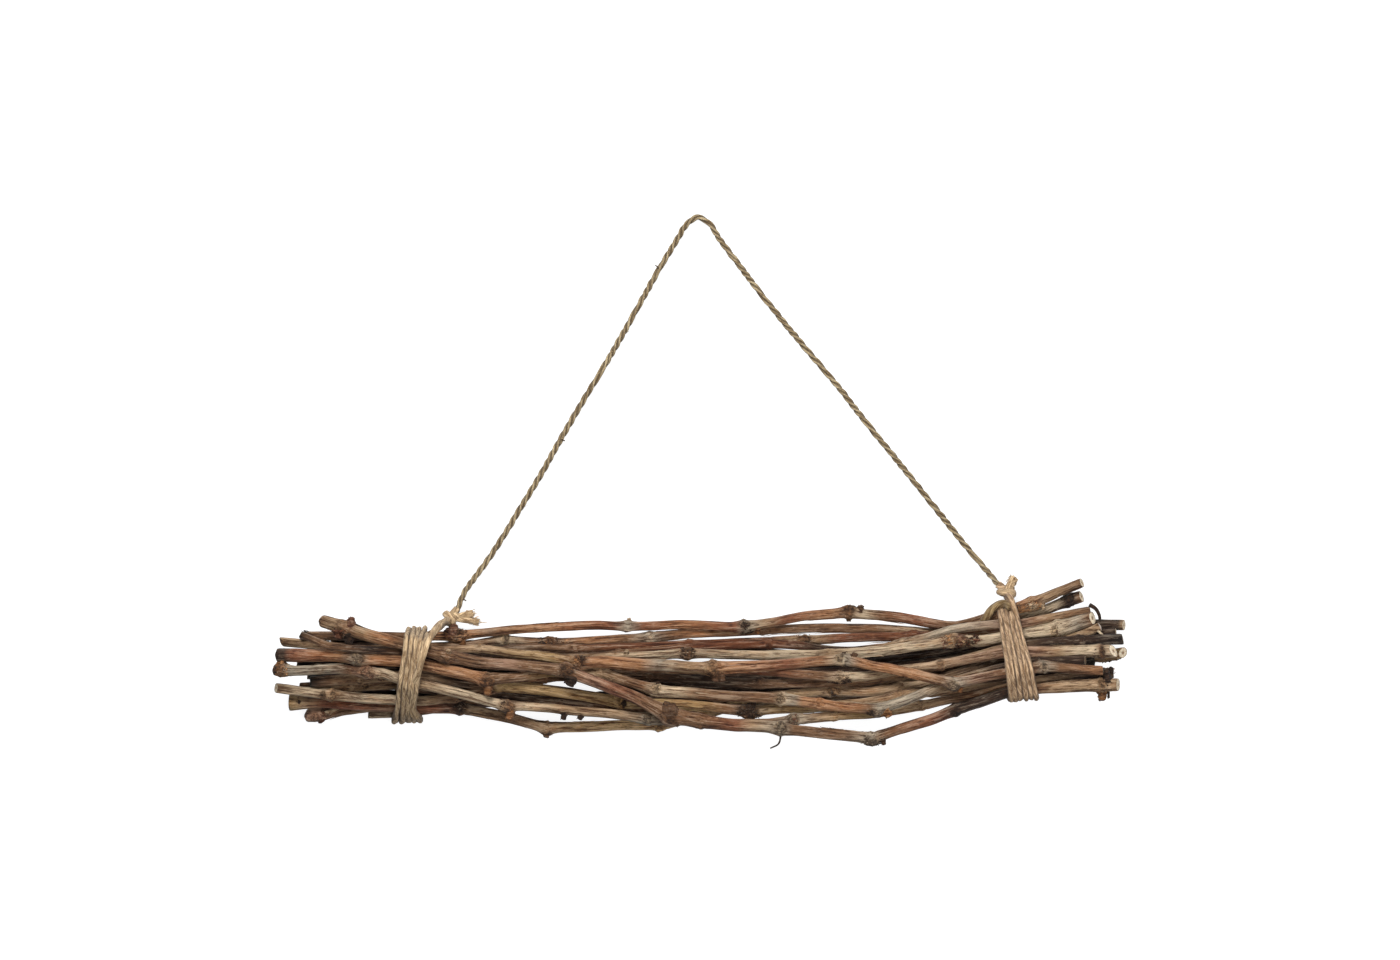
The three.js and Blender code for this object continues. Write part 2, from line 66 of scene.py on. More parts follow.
def add_camera():
    data = bpy.data.cameras.new("camera")
    data.lens = LENS
    data.sensor_width = SENSOR
    data.clip_end = 50
    camera = bpy.data.objects.new("camera", data)
    bpy.context.collection.objects.link(camera)
    distance = VIEW_WIDTH * LENS / SENSOR
    camera.location = (*VIEW_CENTRE, VIEW_HEIGHT + distance)
    bpy.context.scene.camera = camera


def add_area_light(name, location, size, power):
    data = bpy.data.lights.new(name, "AREA")
    data.size = size
    data.energy = power
    light = bpy.data.objects.new(name, data)
    bpy.context.collection.objects.link(light)
    light.location = location
    aim = Vector(LIGHT_TARGET) - Vector(location)
    light.rotation_euler = aim.to_track_quat("-Z", "Y").to_euler()


def add_floor():
    half = FLOOR_HALF
    corners = [(-half, -half, 0), (half, -half, 0), (half, half, 0), (-half, half, 0)]
    mesh = bpy.data.meshes.new("floor")
    mesh.from_pydata(corners, [], [(0, 1, 2, 3)])
    floor = bpy.data.objects.new("floor", mesh)
    bpy.context.collection.objects.link(floor)
    floor.location.z = -FLOOR_DROP
    material, shader, _ = new_material("pale_floor")
    # it glows, so that it is white and the shadows on it are faint
    shader.inputs["Base Color"].default_value = (0.25, 0.25, 0.25, 1)
    shader.inputs["Roughness"].default_value = 0.9
    shader.inputs["Emission Color"].default_value = (1, 1, 1, 1)
    shader.inputs["Emission Strength"].default_value = 0.9
    mesh.materials.append(material)
    floor.visible_diffuse = False      # and its glow stays off the canes


def add_world():
    world = bpy.data.worlds.new("studio")
    world.use_nodes = True
    background = world.node_tree.nodes["Background"]
    background.inputs["Color"].default_value = (1, 1, 1, 1)
    background.inputs["Strength"].default_value = 0.09
    bpy.context.scene.world = world


# ------------------------------------------------------------------ materials

def new_material(name):
    material = bpy.data.materials.new(name)
    material.use_nodes = True
    tree = material.node_tree
    return material, tree.nodes["Principled BSDF"], tree


class Graph:
    """Short calls for the nodes that the materials here are made of."""

    def __init__(self, tree):
        self.tree = tree

    def add(self, kind, **values):
        node = self.tree.nodes.new(kind)
        for key, value in values.items():
            setattr(node, key, value)
        return node

    def join(self, source, target):
        self.tree.links.new(source, target)

    def attribute(self, name, output="Vector"):
        return self.add("ShaderNodeAttribute", attribute_name=name).outputs[output]

    def stretched(self, vector, scale):
        node = self.add("ShaderNodeMapping")
        node.inputs["Scale"].default_value = scale
        self.join(vector, node.inputs["Vector"])
        return node.outputs["Vector"]

    def noise(self, vector, scale, detail=4.0, roughness=0.6, distortion=0.0):
        node = self.add("ShaderNodeTexNoise")
        node.inputs["Scale"].default_value = 1.0
        node.inputs["Detail"].default_value = detail
        node.inputs["Roughness"].default_value = roughness
        node.inputs["Distortion"].default_value = distortion
        self.join(self.stretched(vector, scale), node.inputs["Vector"])
        return node.outputs["Fac"]

    def ramp(self, factor, start, full, most=1.0):
        """A soft step from 0 at start to most at full."""
        node = self.add("ShaderNodeMapRange", clamp=True, interpolation_type="SMOOTHSTEP")
        node.inputs["From Min"].default_value = start
        node.inputs["From Max"].default_value = full
        node.inputs["To Max"].default_value = most
        self.join(factor, node.inputs["Value"])
        return node.outputs["Result"]

    def math(self, operation, a, b):
        node = self.add("ShaderNodeMath", operation=operation)
        for socket, value in zip(node.inputs, (a, b)):
            if isinstance(value, (int, float)):
                socket.default_value = value
            else:
                self.join(value, socket)
        return node.outputs["Value"]

    def mix(self, factor, a, b, blend="MIX"):
        node = self.add("ShaderNodeMix", data_type="RGBA", blend_type=blend, clamp_factor=True)
        colour_a, colour_b = [i for i in node.inputs if i.type == "RGBA"]
        for socket, value in ((node.inputs[0], factor), (colour_a, a), (colour_b, b)):
            if isinstance(value, (int, float)):
                socket.default_value = value
            elif isinstance(value, tuple):
                socket.default_value = (*value, 1)
            else:
                self.join(value, socket)
        return next(o for o in node.outputs if o.type == "RGBA")

    def times(self, colour, factor):
        return self.mix(1.0, colour, factor, "MULTIPLY")


def linear(r, g, b):
    """A colour given on a 0 to 255 scale, as the linear values that shaders use."""
    return tuple(((c / 255 + 0.055) / 1.055) ** 2.4 for c in (r, g, b))


BARKS = {
    "red": linear(134, 84, 58),
    "orange": linear(168, 120, 82),
    "pink": linear(160, 124, 100),
    "tan": linear(160, 130, 98),
    "gold": linear(168, 136, 92),
    "pale": linear(196, 174, 144),
    "straw": linear(220, 182, 134),
    "grey": linear(162, 148, 128),
    "brown": linear(126, 92, 64),
    "rust": linear(112, 66, 40),
    # dark and black also tint the canes and stretches of cane that lie inside the bundle: partly their
    # own dark brown bark, partly painted shade of the bundle's inside.
    "dark": linear(62, 42, 28),
    "black": linear(32, 21, 14),
}


def bark_material():
    """Stringy vine bark: streaks along the cane, patches, and dark crust where crust is high."""
    material, shader, tree = new_material("vine_bark")
    g = Graph(tree)
    place = g.attribute("cane_space")
    tint = g.attribute("tint", "Color")
    crust = g.attribute("crust", "Fac")
    streak = g.noise(place, (26, 440, 440), detail=6, roughness=0.72)
    flake = g.noise(place, (95, 520, 520), detail=5, roughness=0.7)
    fibre = g.noise(place, (80, 1500, 1500), detail=4, roughness=0.7)
    patch = g.noise(place, (45, 140, 140), detail=5, roughness=0.65, distortion=0.8)
    grain = g.noise(place, (420, 600, 600), detail=5, roughness=0.75)
    groove = g.times(tint, (0.22, 0.16, 0.13))
    ruddy = g.times(tint, (0.84, 0.64, 0.50))
    ashen = g.mix(0.40, g.times(tint, (1.7, 1.65, 1.6)), linear(198, 182, 160))
    # The streak, flake and fibre noises also raise the bump below, so these mixes put the dark groove
    # colour in the low streaks and ashen on the raised ones: partly the bark's own dark cracks and pale
    # fibres, partly painted shade and painted highlight.
    colour = tint
    for noise, start, full, most, over in (
        (patch, 0.50, 0.64, 0.6, ruddy),
        (patch, 0.45, 0.32, 0.35, ashen),
        (streak, 0.53, 0.62, 0.85, ashen),
        (streak, 0.49, 0.41, 0.95, groove),
        (flake, 0.56, 0.64, 0.55, ashen),
        (flake, 0.45, 0.36, 0.75, groove),
        (fibre, 0.56, 0.70, 0.4, ashen),
        (fibre, 0.47, 0.34, 0.6, groove),
    ):
        colour = g.mix(g.ramp(noise, start, full, most), colour, over)
    # The grain also raises the bump where crust is high, so the crust is dark in its low spots and
    # flaky on its raised ones: partly its own colour, partly painted shade in its hollows.
    hollow = g.times(tint, (0.20, 0.16, 0.14))
    flaky = g.times(tint, (1.0, 0.90, 0.78))
    flecks = g.mix(g.ramp(grain, 0.45, 0.60), hollow, flaky)
    scabbed = g.ramp(g.math("ADD", crust, g.math("MULTIPLY", grain, 0.6)), 0.60, 0.84, 0.9)
    colour = g.mix(scabbed, colour, flecks)
    g.join(colour, shader.inputs["Base Color"])
    shader.inputs["Specular IOR Level"].default_value = 0.3
    # the pale ridges are worn smoother than the grooves
    worn = g.add("ShaderNodeMapRange")
    worn.inputs["To Min"].default_value = 0.95
    worn.inputs["To Max"].default_value = 0.55
    g.join(streak, worn.inputs["Value"])
    g.join(worn.outputs["Result"], shader.inputs["Roughness"])
    height = g.math("ADD", g.math("ADD", streak, flake), g.math("MULTIPLY", fibre, 0.3))
    height = g.math("ADD", height, g.math("MULTIPLY", g.math("MULTIPLY", grain, crust), 1.2))
    add_bump(g, shader, height, 1.0, 0.0028)
    return material


def add_bump(g, shader, height, strength, distance):
    bump = g.add("ShaderNodeBump")
    bump.inputs["Strength"].default_value = strength
    bump.inputs["Distance"].default_value = distance
    g.join(height, bump.inputs["Height"])
    g.join(bump.outputs["Normal"], shader.inputs["Normal"])


def cut_wood_material():
    """A snipped end: pale wood with rays, a brown pith and a rim of bark.

    Crust is how dark it has gone, and rho how far a point is from the middle of the face.
    """
    material, shader, tree = new_material("cut_wood")
    g = Graph(tree)
    place = g.attribute("cane_space")
    rho = g.attribute("rho", "Fac")
    tint = g.attribute("tint", "Color")
    crust = g.attribute("crust", "Fac")
    rays = g.noise(place, (300, 1100, 1100), detail=5, roughness=0.7)
    wood = g.mix(g.ramp(rays, 0.38, 0.62), linear(224, 196, 158), linear(254, 243, 220))
    aged = g.mix(g.ramp(rays, 0.40, 0.60), linear(48, 35, 26), linear(112, 86, 62))
    wood = g.mix(crust, wood, aged)
    wood = g.mix(g.ramp(rho, 0.40, 0.18, 0.8), wood, linear(140, 98, 62))
    rim = g.times(tint, (0.5, 0.42, 0.36))
    wood = g.mix(g.ramp(rho, 0.88, 0.97), wood, rim)
    g.join(wood, shader.inputs["Base Color"])
    shader.inputs["Roughness"].default_value = 0.85
    shader.inputs["Specular IOR Level"].default_value = 0.2
    add_bump(g, shader, rays, 0.7, 0.0005)
    return material


def jute_material():
    """Jute: straw-coloured fibres along each strand, and painted shade in the grooves between strands.
    """
    material, shader, tree = new_material("jute_twine")
    g = Graph(tree)
    place = g.attribute("cane_space")
    groove = g.attribute("crust", "Fac")
    tint = g.attribute("tint", "Color")
    fibre = g.noise(place, (130, 900, 900), detail=6, roughness=0.78)
    patch = g.noise(place, (70, 110, 110), detail=3)
    colour = g.mix(g.ramp(fibre, 0.40, 0.62), linear(126, 97, 66), linear(236, 206, 164))
    colour = g.mix(g.ramp(patch, 0.45, 0.62, 0.45), colour, linear(164, 136, 102))
    # painted shade: the grooves between the strands are darkened towards this dark brown
    colour = g.mix(g.math("MULTIPLY", groove, 0.75), colour, linear(70, 50, 32))
    colour = g.times(colour, tint)
    g.join(colour, shader.inputs["Base Color"])
    shader.inputs["Roughness"].default_value = 0.9
    shader.inputs["Specular IOR Level"].default_value = 0.2
    shader.inputs["Sheen Weight"].default_value = 0.1
    add_bump(g, shader, fibre, 1.0, 0.0012)
    return material


# ------------------------------------------------------------------ mesh helpers

class Skin:
    """Collects points with their paint values, and faces, and makes them one mesh."""

    def __init__(self):
        self.points, self.faces, self.slots, self.smooth = [], [], [], []
        self.space, self.tint, self.crust, self.rho = [], [], [], []
        self.count = 0

    def add(self, points, faces, slot=0, space=None, tint=(1, 1, 1), crust=0.0, rho=1.0, smooth=True):
        """Space is where the grain is read, and tint, crust and rho are what the materials read."""
        points = np.asarray(points, float).reshape(-1, 3)
        n = len(points)
        self.points.append(points)
        faces = np.asarray(faces, int)
        self.faces.append(np.where(faces < 0, faces, faces + self.count))
        self.slots.append(np.broadcast_to(slot, (len(faces),)))
        self.smooth.append(np.full(len(faces), smooth))
        self.space.append(points if space is None else np.asarray(space, float).reshape(-1, 3))
        self.tint.append(np.broadcast_to(np.asarray(tint, float), (n, 3)))
        self.crust.append(np.broadcast_to(np.asarray(crust, float).reshape(-1), (n,)))
        self.rho.append(np.broadcast_to(np.asarray(rho, float).reshape(-1), (n,)))
        self.count += n

    def build(self, name, materials):
        quads = [f if f[3] >= 0 else f[:3] for part in self.faces for f in part.tolist()]
        mesh = bpy.data.meshes.new(name)
        mesh.from_pydata(np.concatenate(self.points).tolist(), [], quads)
        opaque = np.ones(self.count)
        for label, kind, field, values in (
            ("cane_space", "FLOAT_VECTOR", "vector", np.concatenate(self.space)),
            ("tint", "FLOAT_COLOR", "color", np.column_stack([np.concatenate(self.tint), opaque])),
            ("crust", "FLOAT", "value", np.concatenate(self.crust)),
            ("rho", "FLOAT", "value", np.concatenate(self.rho)),
        ):
            layer = mesh.attributes.new(label, kind, "POINT")
            layer.data.foreach_set(field, np.ascontiguousarray(values, np.float32).ravel())
        for material in materials:
            mesh.materials.append(material)
        mesh.polygons.foreach_set("material_index", np.concatenate(self.slots))
        mesh.polygons.foreach_set("use_smooth", np.concatenate(self.smooth))
        mesh.update()
        piece = bpy.data.objects.new(name, mesh)
        bpy.context.collection.objects.link(piece)
        return piece


def tube_faces(rings, sides):
    """Faces of rings of points, wound outwards, with a fan to one more point at each end."""
    i, k = np.meshgrid(np.arange(rings - 1), np.arange(sides), indexing="ij")
    a, b = i * sides + k, i * sides + (k + 1) % sides
    walls = np.stack([a, b, b + sides, a + sides], -1).reshape(-1, 4)
    k = np.arange(sides)
    after = (k + 1) % sides
    pole = np.full(sides, rings * sides)
    none = np.full(sides, -1)
    last = (rings - 1) * sides
    start = np.stack([pole, after, k, none], -1)
    end = np.stack([pole + 1, last + k, last + after, none], -1)
    return np.concatenate([walls, start, end])


def ease(t):
    """A soft start and a soft stop between 0 and 1."""
    return t * t * (3 - 2 * t)


def lattice(rng, s, theta, step, around):
    """Smooth noise from -1 to 1 on a tube: a new value every step of s, and around ones a turn."""
    rows = int(s.max() / step) + 3
    values = rng.uniform(-1, 1, (rows, around))
    u, v = s / step, (theta / TAU % 1.0) * around
    i, k = np.floor(u).astype(int), np.floor(v).astype(int) % around
    fu, fv = ease(u - np.floor(u)), ease(v - np.floor(v))
    j, m = i + 1, (k + 1) % around
    low = values[i, k] * (1 - fv) + values[i, m] * fv
    high = values[j, k] * (1 - fv) + values[j, m] * fv
    return low * (1 - fu) + high * fu


def through(xs, values, at):
    """A smooth curve through the points, read at other places."""
    h = np.diff(xs)
    rise = np.diff(values) / h
    inner = (h[1:] * rise[:-1] + h[:-1] * rise[1:]) / (h[:-1] + h[1:])
    slope = np.concatenate([[rise[0]], inner, [rise[-1]]])
    k = np.clip(np.searchsorted(xs, at) - 1, 0, len(h) - 1)
    t = (at - xs[k]) / h[k]
    t2, t3 = t * t, t * t * t
    return ((2 * t3 - 3 * t2 + 1) * values[k] + (t3 - 2 * t2 + t) * h[k] * slope[k]
            + (3 * t2 - 2 * t3) * values[k + 1] + (t3 - t2) * h[k] * slope[k + 1])


def unit(vectors):
    return vectors / np.linalg.norm(vectors, axis=-1, keepdims=True)


def travelled(points):
    """Distance along a line of points, at each of them."""
    return np.concatenate([[0], np.cumsum(np.linalg.norm(np.diff(points, axis=0), axis=1))])


def smooth_path(points, step):
    """Evenly spaced points on a smooth curve through given ones."""
    points = np.asarray(points, float)
    at = travelled(points)
    fine = np.linspace(0, at[-1], 20 * len(points))
    dense = np.stack([through(at, points[:, k], fine) for k in range(3)], -1)
    length = travelled(dense)
    even = np.linspace(0, length[-1], max(int(length[-1] / step), 3))
    return np.stack([np.interp(even, length, dense[:, k]) for k in range(3)], -1)


def frames(path):
    """A path's direction at each point, and two more square to it that turn no more than it."""
    ahead = unit(np.gradient(path, axis=0))
    side = np.empty_like(path)
    guess = np.array([0, 0, 1.0]) if abs(ahead[0][2]) < 0.9 else np.array([1.0, 0, 0])
    for k, direction in enumerate(ahead):
        guess = guess - guess @ direction * direction
        guess = guess / np.linalg.norm(guess)
        side[k] = guess
    return ahead, side, np.cross(ahead, side)


ROD_TIP = 0.3                # how far a rod's end bulges, in radii
LUMP_RINGS, LUMP_SIDES = 4, 6


def add_rod(skin, path, radii, sides, slot=0, tint=(1, 1, 1), crust=0.0, rng=None, rough=0.0):
    """A round rod along a path, with a radius at each point of it and closed ends."""
    path = np.asarray(path, float)
    radii = np.broadcast_to(np.asarray(radii, float), (len(path),))
    ahead, side, up = frames(path)
    turn = np.linspace(0, TAU, sides, endpoint=False)[None, :, None]
    bumps = np.ones((len(path), sides))
    if rough:
        bumps = bumps + rng.uniform(-rough, rough, bumps.shape)
    reach = (radii[:, None] * bumps)[..., None]
    out = reach * (np.cos(turn) * side[:, None] + np.sin(turn) * up[:, None])
    points = (path[:, None] + out).reshape(-1, 3)
    tips = ROD_TIP * radii[[0, -1], None] * ahead[[0, -1]] * np.array([[-1], [1]])
    points = np.concatenate([points, path[[0, -1]] + tips])
    skin.add(points, tube_faces(len(path), sides), slot=slot, tint=tint, crust=crust)


def add_lump(skin, centre, out, along, sizes, rng, tint, crust, rough):
    """A knobbly ball stretched to half sizes: outwards, along and across."""
    across = np.cross(out, along)
    polar = np.linspace(0.5, math.pi - 0.5, LUMP_RINGS)[:, None]
    theta = np.linspace(0, TAU, LUMP_SIDES, endpoint=False)[None, :]
    size = 1 + rng.uniform(-rough, rough, (LUMP_RINGS, LUMP_SIDES))
    ring = np.sin(polar) * size
    parts = (
        -np.cos(polar) * size * sizes[0],
        ring * np.cos(theta) * sizes[1],
        ring * np.sin(theta) * sizes[2],
    )
    body = centre + sum(part[..., None] * way for part, way in zip(parts, (out, along, across)))
    poles = centre + np.array([[-sizes[0]], [sizes[0]]]) * out
    points = np.concatenate([body.reshape(-1, 3), poles])
    faces = tube_faces(LUMP_RINGS, LUMP_SIDES)
    skin.add(points, faces, tint=tint, crust=crust, smooth=False)


# ------------------------------------------------------------------ the canes

NODE_WIDTH = 5.5 * MM       # how far along the cane a node's swelling reaches
NODE_RISE = 0.2 * MM        # a ring that stands out by more than this is a node
KINK = 0.5                  # 0 bends a cane as one curve, and 1 only at its nodes
CAP_RINGS = (0.8, 0.55, 0.3, 0.12)   # rings of a cut face, in radii
PLUS_Y = np.array([0, 1.0, 0])
HIDDEN_CANES = 8            # cane_01 to cane_08 are behind the rest
CANE_STEP, CANE_SIDES = 1.4 * MM, 30
HIDDEN_STEP, HIDDEN_SIDES = 3.0 * MM, 16
BARK_STRIPS = 12            # loose strips of bark on each cane that shows
STRIP_POINTS = 24
CANE_SEED = 100


class Line:
    """A cane's middle line and thickness along X, read from its CAD node."""

    def __init__(self, node):
        corners = np.array([v.co[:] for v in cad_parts[node].data.vertices])
        stations = np.round(corners[:, 0], 6)
        self.x = np.unique(stations)
        low = np.array([corners[stations == x].min(0) for x in self.x])
        high = np.array([corners[stations == x].max(0) for x in self.x])
        self.y, self.z = (low[:, 1] + high[:, 1]) / 2, (low[:, 2] + high[:, 2]) / 2
        radius = (high[:, 2] - low[:, 2]) / 2
        self.base = radius.copy()
        self.nodes = []
        for k in range(1, len(radius) - 1):
            if radius[k] > max(radius[k - 1], radius[k + 1]) + NODE_RISE:
                self.base[k] = (radius[k - 1] + radius[k + 1]) / 2
                self.nodes.append((self.x[k], radius[k] - self.base[k]))

    def middle(self, x):
        """Part smooth curve and part straight runs, because a cane bends most at its nodes."""
        x = np.asarray(x, float)
        bent = [KINK * np.interp(x, self.x, values) + (1 - KINK) * through(self.x, values, x)
                for values in (self.y, self.z)]
        return np.stack([x, *bent], -1)

    def radius(self, x):
        x = np.asarray(x, float)
        total = np.interp(x, self.x, self.base)
        for place, swelling in self.nodes:
            total = total + swelling * np.exp(-((x - place) / NODE_WIDTH) ** 2)
        return total

    def spot(self, x, angle):
        """A place on the cane's side: middle, the way out, and the way along. 0 is +Y, 90 is up."""
        middle = self.middle(x)
        along = unit(self.middle(x + MM) - self.middle(x - MM))
        side = unit(PLUS_Y - PLUS_Y @ along * along)
        turn = math.radians(angle)
        out = math.cos(turn) * side + math.sin(turn) * np.cross(along, side)
        return middle, out, along


def tint_along(stops, x):
    """Bark colour at x: a blend between the nearest stops, each [x in mm, bark name]."""
    places = [stop[0] * MM for stop in stops]
    colours = np.array([BARKS[stop[1]] for stop in stops])
    return np.stack([np.interp(x, places, colours[:, k]) for k in range(3)], -1)


def near_turn(theta, angle):
    """How close each direction is to an angle in degrees: 1 there, and 0 a third of a turn away."""
    gap = (theta - math.radians(angle) + math.pi) % TAU - math.pi
    return np.exp(-(gap / 0.9) ** 2)


def cane_rings(line, rng, step):
    """Rings along a cane that wanders a little: x, middle, and the ways ahead, to +Y and up."""
    start, end = line.x[0], line.x[-1]
    x = np.linspace(start, end, int((end - start) / step))
    axis = line.middle(x)
    axis[:, 1] += 0.35 * MM * lattice(rng, x - start, np.zeros_like(x), 21 * MM, 1)
    axis[:, 2] += 0.25 * MM * lattice(rng, x - start, np.zeros_like(x), 17 * MM, 1)
    ahead = unit(np.gradient(axis, axis=0))
    side = unit(PLUS_Y - (ahead @ PLUS_Y)[:, None] * ahead)
    return x, axis, ahead, side, np.cross(ahead, side)


def bark_relief(line, look, rng, x, run, turn):
    """The bark's radius, how crusty it is, and the knobs in its crust, at each run and turn."""
    ridges = 0.055 * lattice(rng, run, turn, 34 * MM, 4)
    ridges += 0.055 * lattice(rng, run, turn, 26 * MM, 9)
    ridges += 0.04 * lattice(rng, run, turn, 8 * MM, 15)
    radius = line.radius(x)[:, None] * (1 + ridges)
    crust = np.zeros_like(radius)
    wrinkles = lattice(rng, run, turn, 1.5 * MM, 5)
    for place, swelling in line.nodes:
        away = x[:, None] - place
        near = np.exp(-(away / (4.5 * MM)) ** 2)
        facing = rng.uniform(0, 360)
        slant = facing % TAU    # in radians, so it has nothing to do with the bud's direction
        ring = np.exp(-((away - 1.5 * MM * np.cos(turn - slant)) / (1.3 * MM)) ** 2)
        dip = np.exp(-((away - 3.4 * MM) / (1.0 * MM)) ** 2)
        bud = 0.5 * swelling * np.cos(turn - math.radians(facing))
        radius += near * (0.35 * MM * wrinkles + bud)
        radius += 0.55 * MM * ring - 0.35 * MM * dip
        patch = near * (0.25 + 0.75 * near_turn(turn, facing))
        crust = np.maximum(crust, rng.uniform(0.3, 0.75) * patch)
    knobs = lattice(rng, run, turn, 1.9 * MM, 11) + 0.7 * lattice(rng, run, turn, 1.0 * MM, 17)
    for place, angle, size in look.get("scabs", ()):
        patch = np.exp(-((x[:, None] - place * MM) / (0.55 * size * MM)) ** 2)
        crust = np.maximum(crust, patch * near_turn(turn, angle))
    radius += crust * (0.15 * MM + 0.55 * MM * knobs)
    return radius, crust, knobs


def round_off(radius, run, lengths):
    """Rounds the two ends of a cane off over these lengths in mm."""
    s = run[:, 0]
    for away, length in zip((s, s[-1] - s), lengths):
        if length:
            inward = 1 - np.clip(away / (length * MM), 0, 1)
            radius *= np.maximum(np.sqrt(1 - inward ** 2.4), 0.25)[:, None]


def slide_to_slant(line, radius, run, turn, cuts):
    """How far each point slides along the cane, so that the cuts at its ends slant."""
    s = run[:, 0]
    slide = np.zeros_like(radius)
    for away, end, (lean, facing) in zip((s, s[-1] - s), (line.x[0], line.x[-1]), cuts):
        weight = np.clip(1 - away / (3 * line.radius(end)), 0, 1)[:, None] ** 2
        slide += weight * lean * radius * np.cos(turn - math.radians(facing))
    return slide


def cut_face(rim, ahead, rng):
    """Rings of a cut face, from its rim to its middle, and the middle point."""
    centre = rim.mean(0)
    rough = rng.uniform(-0.12, 0.12, (len(CAP_RINGS), len(rim))) * MM
    rings = [centre + rho * (rim - centre) + rough[k][:, None] * ahead
             for k, rho in enumerate(CAP_RINGS)]
    return np.array(rings), centre


def with_caps(values):
    """A row of values for each ring of a cane, with its end rows repeated over the cut faces."""
    count = len(CAP_RINGS)
    return np.concatenate([np.repeat(values[:1], count, 0), values, np.repeat(values[-1:], count, 0)])


def add_cane_body(skin, line, look, rng, step, sides):
    """The cane itself: ridged bark, wrinkled nodes, scabs where the look says, and cut ends."""
    x, axis, ahead, side, up = cane_rings(line, rng, step)
    theta = np.linspace(0, TAU, sides, endpoint=False)
    run, turn = np.meshgrid(travelled(axis), theta, indexing="ij")
    radius, crust, knobs = bark_relief(line, look, rng, x, run, turn)
    shade = 1 + 0.10 * lattice(rng, run, turn, 30 * MM, 3)[..., None]
    scabby = np.clip(1 + 0.75 * crust * knobs, 0.2, 1.6)[..., None]
    tint = tint_along(look["tint"], np.repeat(x[:, None], sides, 1)) * shade * scabby
    round_off(radius, run, look.get("rounded", (0, 0)))
    slide = slide_to_slant(line, radius, run, turn, look.get("cuts", ((0.2, 60), (0.2, 60))))
    radius[[0, -1]] *= 0.95     # the rims of the cuts are worn a little
    out = np.cos(turn)[..., None] * side[:, None] + np.sin(turn)[..., None] * up[:, None]
    walls = axis[:, None] + radius[..., None] * out + slide[..., None] * ahead[:, None]
    first, first_pole = cut_face(walls[0], ahead[0], rng)
    last, last_pole = cut_face(walls[-1], ahead[-1], rng)

    grid = np.concatenate([first[::-1], walls, last])
    points = np.concatenate([grid.reshape(-1, 3), [first_pole, last_pole]])
    rho = np.concatenate([CAP_RINGS[::-1], np.ones(len(x)), CAP_RINGS])
    inward = with_caps(radius) * rho[:, None]
    space = np.stack([with_caps(run), inward * np.cos(theta), inward * np.sin(theta)], -1)
    count = len(CAP_RINGS)
    cut = np.concatenate([np.ones(count), np.zeros(len(x) - 1), np.ones(count)])
    worn = list(look.get("worn", (0, 0)))
    crust = with_caps(crust)
    crust[:count], crust[-count:] = worn
    skin.add(points, tube_faces(len(grid), sides),
             slot=np.concatenate([np.repeat(cut, sides), np.ones(2 * sides)]).astype(int),
             space=np.concatenate([space.reshape(-1, 3), [[0, 0, 0], [run[-1, 0], 0, 0]]]),
             tint=np.concatenate([with_caps(tint).reshape(-1, 3), tint[0, :1], tint[-1, :1]]),
             crust=np.concatenate([crust.reshape(-1), worn]),
             rho=np.concatenate([np.repeat(rho, sides), [0, 0]]))


SCALE_SHAPE = ((0.25, 0.8), (0.9, 2.6), (0.3, 0.8))   # least and most: out, along and across
TONES = {
    # tint, and how scabby the bark shader makes it
    "dark": (linear(74, 53, 38), 0.55),
    "orange": (linear(150, 102, 60), 0.4),
    "pale": (linear(180, 154, 122), 0.15),
    "bark": (linear(112, 82, 58), 0.45),
    "red": (linear(116, 74, 52), 0.3),
    "grey": (linear(118, 100, 82), 0.5),
    "flame": (linear(176, 126, 80), 0.3),
    "black": (linear(44, 32, 24), 0.5),
    "wood": (linear(226, 204, 170), 0.0),
}


def add_scales(skin, line, x, angle, size, tone, rng):
    """A rough knob of scales and broken bits on a cane's side."""
    tint, crust = TONES[tone]
    for _ in range(int(14 + 10 * size)):
        place = (x + rng.normal(0, 0.36 * size)) * MM
        middle, out, along = line.spot(place, angle + rng.normal(0, 32))
        rise = rng.uniform(-0.35, 0.08 * size) * MM * rng.uniform(0, 1)
        root = middle + (line.radius(place) + rise) * out
        out = unit(out + rng.uniform(-0.7, 0.7, 3))
        along = unit(along + 0.8 * rng.uniform(-1, 1, 3))
        along = unit(along - along @ out * out)
        big = rng.uniform(0.06, 0.17) * size * MM
        sizes = [big * rng.uniform(*limits) for limits in SCALE_SHAPE]
        add_lump(skin, root, out, along, sizes, rng, tint=np.array(tint) * rng.uniform(0.35, 1.6),
                 crust=crust * rng.uniform(0.3, 1.3), rough=0.5)


